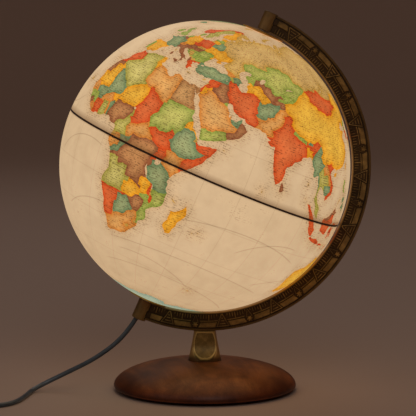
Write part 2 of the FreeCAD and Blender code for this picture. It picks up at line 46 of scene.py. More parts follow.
# ---- the printed map: longitude and latitude in degrees ----
# One ring goes round Europe, Asia and Africa, clockwise from the Strait of Gibraltar along the south shore
# of the Mediterranean. The map's left and right edges meet in the Bering Sea, at 169 degrees west.
OLD_WORLD = """
-5.9 35.8,-5.3 35.8,-4 35.2,-2.9 35.3,-.6 35.8,1.3 36.5,3 36.8,5.1 36.8,7.8 37,9.8 37.3,10.3 36.8,11 37.1,
10.6 36.3,11 35,10.1 33.9,11.2 33.2,13.2 32.9,15.2 32.4,16.6 31.2,18 30.5,19.2 30.3,20.1 30.9,20 32.1,
21.6 32.9,23 32.6,25.1 31.6,27.2 31.3,29 30.8,31 31.6,32.3 31.2,33 31,34.3 31.3,35 32.8,35.9 34.6,35.8 35.6,
36.1 36.7,35.3 36.6,34.5 36.7,33.9 36.2,32.8 36,32 36.5,30.7 36.8,30.4 36.2,29.1 36.6,28.2 36.7,27.3 37.1,
26.4 38.3,26.9 39,26.1 39.5,26.2 40.2,26.8 40.6,25 40.9,23.9 40.5,24.2 40.2,22.8 40.5,22.7 39.9,23.3 39.2,
22.9 38.8,24.1 38.2,24 37.7,23.1 37.9,23.3 37.4,22.8 37.4,23.1 36.5,22.4 36.5,21.6 36.9,21.2 37.9,20.9 38.9,
19.4 40.3,19.4 41.9,18 42.7,16.3 43.5,15.1 44.2,14.5 45.3,13.8 44.9,13.6 45.7,12.4 45.4,12.4 44.4,13.5 43.6,
14.2 42.5,15.2 41.9,16.2 41.8,16.9 41.1,18.5 40.2,18.3 39.8,17.1 40.5,16.6 39.8,17.2 39,16.5 38.4,16 37.9,
15.7 38.1,16.1 39,15.6 40.1,14.3 40.8,12.3 41.7,10.6 42.9,10.2 43.9,8.9 44.4,7.3 43.7,6.4 43.1,4.3 43.5,
3 43,3.2 42.2,2.2 41.4,.8 40.8,-.3 39.5,.2 38.8,-.7 37.7,-1.9 36.9,-4.4 36.7,-5.4 36.1,-6.3 36.6,-7.5 37.2,
-9 37,-8.8 38.3,-9.5 38.7,-8.8 40.5,-8.9 42.2,-9.3 43,-7.8 43.8,-3.8 43.5,-1.6 43.5,-1.2 45.5,-2.2 47.1,
-4.6 48,-4.7 48.5,-1.6 48.7,-1.8 49.7,-.1 49.4,1.6 50.4,2 51,3.6 51.5,4.8 52.9,6 53.4,8.7 53.9,8.1 55.5,
8.2 57,10.6 57.7,10.9 56.4,9.8 55.4,10 54.5,11 54,12.5 54.4,14.2 53.9,17.6 54.8,18.8 54.4,19.9 54.7,
21.1 55.6,21 56.6,21.7 57.5,22.7 57.4,23.5 57,24.3 57.3,24.3 58,23.5 58.6,23.6 59.2,25 59.5,28 59.5,
30.1 59.9,28.5 60.5,25 60.2,22.9 59.9,21.4 60.8,21.4 62,21.6 63.2,25.2 65,24.5 65.8,22.2 65.6,21.3 64.6,
18.2 62.9,17.3 61,18.8 60,18.4 59.1,16.6 58.4,16.4 56.7,14.5 55.5,12.9 55.5,11.3 58.4,10.6 59.4,9.5 58.9,
7.1 58,5.6 58.8,5 60.5,5.2 62.1,8.5 63.4,12 65.5,14.6 67.7,17.5 69.2,21 70,25.8 71.1,28.5 71,31 70.3,
29.8 69.9,33 69.4,38 68.3,41.2 66.8,38.5 66.1,33 66.7,34.8 64.5,37.8 63.9,37 65.1,40.4 64.6,40 65.6,
42.3 66.4,44 66.1,43.4 68.6,46.2 68,46.3 66.9,48.5 67.7,53.5 68.4,59 69,60.5 69.8,65 69.2,68.5 68.3,
66.8 69.6,67 71.2,69 72.8,72.7 72.8,72.4 71.2,73.7 69,71.7 66.3,73.9 67.5,74.5 72.1,80.5 72.5,81 73.6,87 75,
93 76,98.5 76.3,104 77.7,113 75.8,113.4 73.8,109 73.3,118 73.1,123.3 73,127 73.4,129.4 71.1,133 71.5,
139.7 72.3,149 72.1,152.8 70.9,160 70.2,161 69.4,170.5 69,171 70,180 69,185 67.2,190.2 66.1,187 64.4,
183.5 65.6,179.3 62.4,175 62,170.3 60,166 60.2,163.2 59.6,162 57.9,163 56.2,161.8 55,160 53.2,158.5 52.9,
156.7 51,155.7 53.5,155.8 56.8,158 58.5,161.9 60.5,164.2 62.4,160.2 61.7,156.7 61.5,155 59.4,151.3 59.2,
142.6 59.3,138 56.3,135.3 54.8,137.7 53.7,141 53,140.4 50.5,140.3 48.2,138 46.3,135.3 43.9,132.8 42.8,
131.8 43.2,130.6 42.3,129.7 41,127.6 39.8,127.5 39.2,129.4 37.2,129.3 35.3,127.4 34.5,126.4 34.6,126.7 36.8,
125.2 37.7,125.2 39.5,124 39.9,121.5 38.9,121.7 40.5,121 40.8,119 39.3,117.8 38.8,118.9 37.4,120.8 37.8,
122.6 37.3,120.6 36.2,119.2 35,120.8 33,121.8 31.8,121 30.5,122 29.8,121.6 28.5,119.7 26.2,118 24.4,
116.6 23.1,114.2 22.3,111.8 21.6,110.4 21.2,110.2 20.3,109.7 21.5,108.1 21.5,106.7 20.5,105.7 18.9,
107.3 16.9,109 15.3,109.3 12.7,108.8 11.4,107 10.4,106.5 9.5,105 8.6,104.9 10.2,103.5 10.6,102.7 12,
101.2 12.7,100.5 13.4,99.9 12.4,99.2 10,100 8.6,100.6 7.2,102.2 6.2,103.4 4.8,103.5 2.8,104.2 1.4,103.3 1.4,
101.3 2.9,100.3 5.6,98.3 8,98.6 10,98.6 12.4,97.8 14.8,97.5 16.8,95.4 15.8,94.3 16,94.4 18.5,93 19.9,
91.8 22.4,90.5 22.5,89 21.8,87 21.4,86.4 20,84.8 19.1,82.3 16.8,80.3 15.7,80.2 13.3,79.8 10.3,79 9.2,
78.1 8.5,77.5 8.1,76.4 9.6,75 12.3,74 15,73.2 17.8,72.8 19.5,72.8 21.1,72.2 21.2,71 20.8,69 22.2,70.3 22.9,
68.5 23.4,67.2 24.8,64.5 25.3,61.6 25.1,58 25.6,57 26.9,54.5 26.6,51.5 27.9,50.1 30.1,48.8 30.3,48 29.5,
48.6 28.2,50.1 26.7,50.3 25.4,50.8 24.8,51.2 26.1,51.6 25,51.5 24.3,54.2 24.2,56.2 26.2,56.4 24.9,58.6 23.6,
59.8 22.5,58.5 20.4,57.7 19,55.3 17.4,52.2 15.7,48.7 14,45 12.8,43.5 12.7,42.8 15.2,42.4 16.7,41 18.8,
39.2 21,38.9 22.2,37.2 24.5,35.3 27.9,34.7 28.2,35 29.5,34.3 27.9,33.2 28.7,32.6 29.9,32.8 28.9,33.8 27.4,
35.5 24,37 22,37.3 19.2,38.6 18,39.5 15.6,41.2 14.5,43 12.6,43.2 11.5,44.5 10.4,47.5 11.2,51.3 11.9,51 10.4,
50 8.2,48 4.5,45.8 2.2,43.5 .2,41.6 -1.7,40.1 -3.3,39.2 -4.9,38.8 -6.3,39.5 -7.2,39.5 -9.2,40.6 -10.8,
40.6 -14.8,39.7 -16.4,37 -17.9,34.8 -19.9,35.5 -22.3,35.4 -24,33 -25.3,32.6 -26.2,32.8 -27.9,31 -29.8,
28.3 -32.8,25.7 -34,22.2 -34.1,20 -34.8,18.4 -34.3,18 -32.6,17.2 -30,15.2 -26.8,14.5 -22.8,12.4 -18.4,
11.8 -16.2,12.6 -13.5,13.8 -11,13.2 -8.8,12.3 -6.1,11.8 -4.7,9.6 -2.4,8.8 -.7,9.4 .5,9.8 2.6,9.5 4,8.5 4.6,
7 4.4,5.6 4.7,5 5.8,4 6.4,1.2 6,-2 4.8,-4 5.2,-7.5 4.4,-9.3 5.5,-11.4 6.9,-13.2 8.8,-14.9 10.9,-16.7 12.4,
-16.7 13.6,-17.5 14.7,-16.5 16.2,-16.2 19.2,-17 21,-15.9 23.8,-14.7 26,-13.2 27.8,-11.2 28.6,-9.8 29.8,
-9.7 31.5,-8.6 33.3,-6.8 34.1
"""
NEW_WORLD = """
-168 65.6,-164.5 66.6,-162 66.3,-166 68.3,-157 71.3,-150 70.6,-141 69.6,-135 69.3,-128 70,-115 68.5,-108 68,
-101 67.8,-96 68.3,-94 71.8,-92 69.8,-88.5 68.5,-85.5 69.7,-82 69.4,-81.5 67.5,-86 66.3,-87 64.6,-93 62,
-94.6 59,-92.5 57,-88 56.5,-82.3 55.2,-82 53,-80 51.3,-78.8 52.3,-79.5 54.7,-76.7 57,-78.5 58.8,-77.5 62.4,
-73.5 62.2,-69.6 60.8,-69.5 58.9,-66 58.8,-64.5 60.3,-62 57.5,-57 53.7,-56 52,-60 50.2,-66 50.2,-69.5 48.3,
-65 49.2,-64.8 46.4,-61 45.6,-65.6 43.5,-66 45,-67.2 44.7,-70 43.6,-70.8 42.5,-70 41.7,-74 40.6,-75.4 38,
-76 36.9,-75.6 35.3,-78 33.9,-81.2 31.7,-80.4 28.2,-80.2 25.4,-81.2 25.2,-82.7 27.8,-84 30,-86 30.4,
-89.3 30.3,-89.3 29.1,-91.5 29.4,-94.5 29.5,-97.3 27.7,-97.5 25,-97.8 22.3,-96 19.2,-94 18.2,-91.8 18.5,
-90.4 21,-87 21.5,-88 18.2,-88.5 15.9,-86 15.9,-83.2 15,-83.6 11.5,-82.2 9.1,-79.8 9.5,-77.4 8.6,-75.5 10.6,
-74.6 11.2,-71.9 12.3,-71.5 10.8,-70 12,-68 10.6,-64.5 10.2,-61.9 10.7,-60.7 8.5,-57 6,-53.8 5.8,-51.5 4.3,
-50 .8,-48.3 -.9,-44.3 -2.6,-40.5 -2.9,-37 -4.8,-35.2 -5.5,-34.9 -8,-37 -11,-39 -13.3,-39.2 -17.5,-41 -22,
-44.7 -23.2,-48.3 -25.7,-48.7 -28.3,-52 -33,-54.9 -34.9,-58.3 -34,-56.8 -36.5,-57.8 -38.2,-62 -38.9,
-62.3 -40.8,-65 -41,-63.9 -42.5,-67.3 -46,-65.9 -47.8,-69 -50.4,-68.3 -52.6,-65.4 -54.6,-69 -55.3,-73.5 -53,
-75.3 -50,-74.5 -46.5,-73 -44,-73.8 -41.5,-73.3 -37,-71.5 -32.5,-70.4 -25,-70.2 -18.5,-72.5 -17,-76.2 -13.8,
-79 -8.2,-81.2 -5.8,-80.2 -3.3,-81 -1.5,-80 .8,-77.6 2.6,-77.5 7.2,-79.5 8.9,-80.4 7.4,-82.9 8.2,-85.7 10,
-87.6 13,-91.5 14,-94.5 16.2,-98 16.2,-101.8 17.8,-105.5 20,-105.5 22,-108.5 25.3,-112.4 29.6,-114.7 31.7,
-112.7 28,-110.3 24.2,-109.5 23,-112 25.2,-114.2 27.2,-115.6 29.7,-117.2 32.6,-118.4 34,-120.6 34.6,
-122.5 37.5,-124.2 40.5,-124 46,-124.7 48.3,-123 48.6,-127.5 51.2,-130.3 54.5,-133.7 57.5,-136.5 58.4,
-140 59.8,-146 60.8,-149 59.9,-151.9 59.3,-151 61,-154 58.9,-158 56.5,-162 55,-165 54.7,-160.5 56,
-157.3 58.7,-162 59.3,-165.5 61.2,-164.7 62.9,-161 64.4,-166.3 64.6
"""
ISLANDS = """
49.3 -12,50.5 -15.6,49.4 -18,47.1 -24.9,45.2 -25.5,43.6 -23.5,43.3 -21.8,44.4 -19.9,44.2 -16.3,46.5 -15.6/
80 9.7,81.2 8.5,81.8 7.2,81 6.1,80.1 6.1,79.8 8/95.3 5.6,97.5 5.2,100.3 2.6,102.8 .2,103.8 -1,106 -3,
105.8 -5.8,104.5 -5.8,102.3 -4,100.4 -1,98.7 1.7/105.2 -6.8,106.1 -6,108.5 -6.7,110.8 -6.4,112.7 -7,
114.4 -7.8,114.4 -8.7,111 -8.3,108 -7.8/109.1 1.4,109.7 2.1,111.4 2.5,113 3.2,115 5,116.8 7,119.2 5.2,
117.6 4.1,118 2.1,119 1,117.5 .4,116.5 -1.6,116 -3.9,114.6 -4.1,111.8 -3.3,110.2 -2.8,110 -1.3,109.1 0/
119.4 -5.5,119.5 -3.5,118.8 -2.7,119.8 0,120.9 1.3,123.5 .9,125.2 1.6,124.3 .4,120.3 .5,120.7 -1.3,
123.3 -.9,121.8 -1.9,122.4 -3.3,122.8 -4.6,121.5 -4.7,120.8 -2.8,120.4 -3.2,120.4 -5.5/131 -.8,134.1 -.9,
134.6 -2.9,135.2 -3.3,137.8 -1.6,141 -2.6,144.6 -3.9,145.8 -5.5,147.8 -6.1,147 -6.9,148.6 -9.1,150.6 -10.5,
147.7 -10,145.3 -7.8,143 -8.4,142.6 -9.3,140 -8.1,138 -8.3,138.8 -6.9,137.8 -5.3,132.8 -4,133.8 -2.5,
132 -2.2/120.6 18.5,122.2 18.4,121.6 16,122 14.6,124.1 12.8,122.4 13.6,120.7 13.8,119.9 15.8,120.4 16.6/
122 7,123.4 8.5,125.4 9.7,126.5 7.6,125.5 5.8,124.1 7.3,123.2 7.4/122 11.8,123.4 11.2,124.3 12.5,125.7 11.1,
124.9 10.2,123 9.3,122.2 10.4/117.2 8.4,119.4 11.3,119.1 10.2/120.1 23.1,121 25,121.9 25,121.3 23,120.8 22/
108.7 19.3,109.6 20,110.9 20,110.4 18.7,109 18.4/130.9 34.1,132.6 35.4,135.9 35.7,136.8 37.2,138.6 37.3,
140 39.5,140.3 41.2,141.4 41.3,142 39.6,141 38.2,140.8 35.8,138.2 34.6,135.8 33.5,135.2 34.5,132.5 34.2/
129.8 33.2,130.9 33.9,131.9 33.2,131.4 31.4,130.2 31.2/132.2 33.4,134.3 34.2,134.3 33.6,133 32.8/140 42,
141.4 43.4,141.8 45.4,143 44.4,145.3 44.2,145.3 43.3,143.2 42,141 42.5/142 46,142.2 48,142 51.6,142.7 54.3,
143.4 52,143.2 49.3,144.5 49,142.8 47/-5.6 50.1,-3.5 50.3,1.3 51.1,1.7 52.6,.3 53,-.2 54.2,-1.6 55.5,
-3.1 56,-2 57.5,-4 57.7,-3.1 58.6,-5 58.6,-6 56.7,-4.8 54.9,-3 54.1,-4.4 53,-4.9 52,-3 51.3/-6.3 52.3,
-6 54.2,-7.3 55.3,-9.9 53.9,-10.2 52,-8.5 51.7/-24 65.5,-22.5 66.4,-18 66.1,-14.6 65.6,-14 64.8,-18.7 63.4,
-22.7 63.9/11 79.6,16 80,20 80.4,26 80,21 78.8,17 76.7,14 78/51.5 71.7,53.5 73.6,57 75.2,62 76.2,68.5 76.8,
61 75.1,57 72.9,57.3 70.8,53.5 70.8/50 80.3,60 81.3,62 80.5,55 79.9/96 80,98 81,103 79.3,105 78.4,100 78/
138 75.8,144 76,150 75.2,143 74.5/178.8 71.2,181.5 71.4,180 70.9/8.6 42.4,9.4 43,9.4 41.5/8.2 40.8,9.4 41.1,
9.6 39.6,8.6 39/12.5 38.1,15.5 38.2,15.1 36.7/23.6 35.4,26.2 35.2,24.7 34.9/32.3 35.1,34.5 35.6,33.4 34.7/
2.4 39.6,3.3 39.8,3 39.3/11.1 55.7,12.5 56,12.3 55/18.2 57.3,18.9 57.9,18.6 57.1/115.2 -8.2,119 -8.2,
119 -8.8,115.2 -8.8/119.9 -8.4,122.9 -8.2,122.5 -8.8,120 -8.8/123.6 -10.3,124.8 -9.1,127.2 -8.4,125.6 -9.4/
119 -9.6,120.8 -10.1,119.9 -10.2/127.5 1,128 2.1,128.6 1,127.9 -.6/128 -3.2,130.8 -3.1,129.5 -3.5/
113.7 -22.5,114.2 -21.8,116.7 -20.7,119 -20,121.4 -19,122.2 -17.5,123.6 -17.3,124.4 -16.2,126 -14.2,
128 -14.9,129.4 -14.9,130.8 -12.4,132.6 -11.5,135 -12.2,136.8 -12.2,135.6 -14.9,139.3 -17.4,140.9 -17.5,
141.6 -15,141.6 -12.8,142.5 -10.8,143.6 -14.1,145.3 -15,146.3 -18.8,148.9 -20.4,150.8 -23,153.1 -25.2,
153.5 -28.2,152.9 -31.4,151 -34,150 -37.3,146.9 -38.7,143.5 -38.8,140.5 -38,138.7 -35.4,137.8 -33,
135.9 -34.8,134 -32.7,131 -31.5,128 -32,124 -33,123.5 -33.9,120 -34,118 -35,115.1 -34.3,115.7 -32,
114.9 -29.5,113.5 -26.4,113.5 -24/144.7 -40.8,148.3 -40.9,148 -42.8,146.6 -43.6,145.5 -42.8/172.7 -34.5,
175.5 -36.7,178.5 -37.7,177 -39.5,175.3 -41.6,174 -39.3,174.7 -37.3/172.7 -40.5,174.2 -41.7,172.9 -43.7,
170.6 -45.8,168.4 -46.6,166.5 -45.9,170.5 -43/-73 78.2,-68 79.6,-62 81.8,-48 82.4,-33 83.5,-22 82.4,
-12 81.6,-18 79.8,-19 76.6,-21.5 74,-22 71.5,-26 68.7,-32 68,-37 66,-40.5 65,-42 62,-43.7 59.9,-48 61,
-51.5 64,-53.5 67,-51 69.6,-54.5 71,-57 74.6,-68 76.1/-61.5 66.3,-66 62,-72 63.4,-78 64.4,-73.5 65.6,
-73 68.2,-79 70,-88 71.4,-89 73.5,-81 73.7,-76 72.5,-68 70.3/-117 70.4,-105.5 69,-102 70.5,-105 73,-114 73,
-118 71.5/-89 76.5,-79 76.2,-72 79,-62 82.5,-75 83,-90 81.8,-85 79/-125 72,-123 71.2,-117 73,-120 74.2/
-92 75,-80 74.7,-81 75.7,-92 76.3/-96 73.8,-91 73,-96 71.8,-101 72.8/-116 77,-106 75.2,-98 75.2,-100 77,
-110 76/-100 79.8,-90 80,-95 78.5/-59.3 47.7,-53 46.8,-53.6 49.2,-57 51.4/-84.8 21.9,-82.5 23.1,-79 22.5,
-74.2 20.2,-77.5 19.9,-78.5 21.3,-82 22.3/-74.3 18.4,-73 19.9,-69.8 19.8,-68.4 18.5,-71 17.9/-78.3 18.3,
-76.4 18.2,-77.2 17.8/-67.2 18.4,-65.7 18.3,-66.6 17.9/-128.2 50.7,-125 50,-123.5 48.4,-126 49.2/-61 -51.8,
-58 -51.6,-60 -52.3/-156 20.2,-155 19.5,-155.8 19/-159.7 22.1,-157.8 21.4,-159.5 21.9/164.2 -20.2,167 -22.2,
165.5 -21.8/177.3 -17.6,179.5 -16.6,178.4 -18.2/155 -6,158.5 -7.6,161.5 -10,157 -8/166.5 -14.8,167.8 -16.4,
167 -16/148.5 -5.8,152 -4.2,151.5 -6,149.8 -6.3/-25.6 15,-23.3 15,-24.5 16.6/-18 28,-14 28.2,-16.4 28.6/
69 -49,70.4 -49.2,69.5 -49.8/55.2 -21,55.8 -21.2,55.4 -21.4/57.4 -20,57.8 -20.3,57.4 -20.5/43.2 -11.4,
45.2 -12.8,43.6 -12.4/53.3 12.6,54.5 12.5,53.9 12.3/92.7 13.5,93 12.2,92.5 11.6/93.7 7.2,93.9 6.8,93.6 6.9/
73.3 4.5,73.6 3.5,73.2 3.4/-92 0,-90.3 -.3,-91.2 -1
"""
ANTARCTICA = """
-169 -78.2,-158 -77.5,-150 -76.5,-146 -75.5,-135 -74.3,-125 -73.5,-115 -73.8,-103 -74.8,-100 -72.5,-90 -73,
-75 -73,-68 -69,-65 -65,-59 -63.3,-61.5 -70,-61.5 -74.5,-72 -77.3,-60 -79,-48 -78,-36 -78.5,-27 -76,-18 -73,
-10 -71,0 -70.4,12 -70,25 -70.5,33 -69,39 -69.6,50 -67,57 -66.8,67 -68,71 -71,76 -69.5,82 -67,92 -66.7,
100 -65.8,110 -66.3,122 -66.8,135 -66.3,146 -67.5,155 -69,164 -70.7,170.5 -72,165 -75.5,164 -77.8,175 -78.5,
180 -78.3,191 -78.2
"""
# Inland waters. The Bosporus is left out.
WATERS = """
29.1 41.2,28 42,27.8 42.7,28.7 44,29.7 45.1,30.8 46.5,32.5 46.1,33.6 46,32.6 45.4,33.5 44.6,35.4 45,
36.5 45.2,35.1 45.6,35 46.2,37.5 47.1,39.2 47.2,38 46,37.2 45.2,38.3 44.3,39.8 43.4,41.5 42.4,41.5 41.5,
38.5 41,36.4 41.3,35.1 42,33.3 42,31.4 41.3/27.3 40.5,28.2 41,29.1 40.9,28.9 40.4/47.5 45.6,49.2 46.6,
51.5 46.9,53 46.6,53 45.3,51.3 45.1,50.4 44.4,51.3 43.2,52.5 42.8,52.6 41.6,54.4 41.6,53 40.8,52.9 40,
53.8 39,53.8 37.2,51.9 36.7,50.1 37.3,48.9 38.3,49.3 40.1,50.3 40.4,49.2 41.3,47.8 42.7,47.4 43.5,46.8 44.5/
58.4 44.8,59.6 46.4,61.2 46.5,61.5 45.2,60 43.8,58.7 43.8/73.8 45.3,75 46.6,79 46.6,76.5 46.1/103.8 51.6,
106 52.6,108.4 53.7,109.6 55.7,109.3 53.9,106.8 52.6,105.3 51.6/31.8 -.3,33 .4,34.1 -.2,33.8 -1.6,33 -2.5,
31.8 -2.3/29.3 -3.4,29.7 -5,30.6 -7,31.2 -8.7,30.2 -7.5,29.1 -5.5/34 -9.6,34.6 -11,34.9 -13.5,34.4 -14.2,
34.3 -12.4/13.5 13.6,14.6 13.4,14.4 12.7,13.7 12.9/31 61.4,32.8 61,32 60.2,30.6 60.4/34.7 62,36 61.5,
35.3 60.9/42.4 38.4,43.6 38.9,43.2 38.4/76.5 42.6,78.2 42.7,77.3 42.2/-92 46.8,-88.5 48.7,-85 47.8,
-84.8 46.6,-87.5 46.6/-87.8 42.3,-87.3 45.2,-85 45.8,-86.3 43.8,-87 41.8/-84 46,-81 46,-80 44.6,-82.4 43.1,
-83.3 45/-83.3 41.7,-79 42.8,-81.5 41.7/-79.7 43.4,-76.4 44.1,-76.5 43.5/-124.5 66.3,-118 67,-122.5 65.3/
-116.8 61.2,-109.5 62.9,-112 61.1/-98.8 53.4,-96.5 51,-97.4 50.6/-85.8 12,-84.9 11.2,-85.6 11.4/-70 -15.4,
-68.8 -16.5,-69.6 -16.3/33.7 30.9,34.2 30.7,33.9 30.6
"""
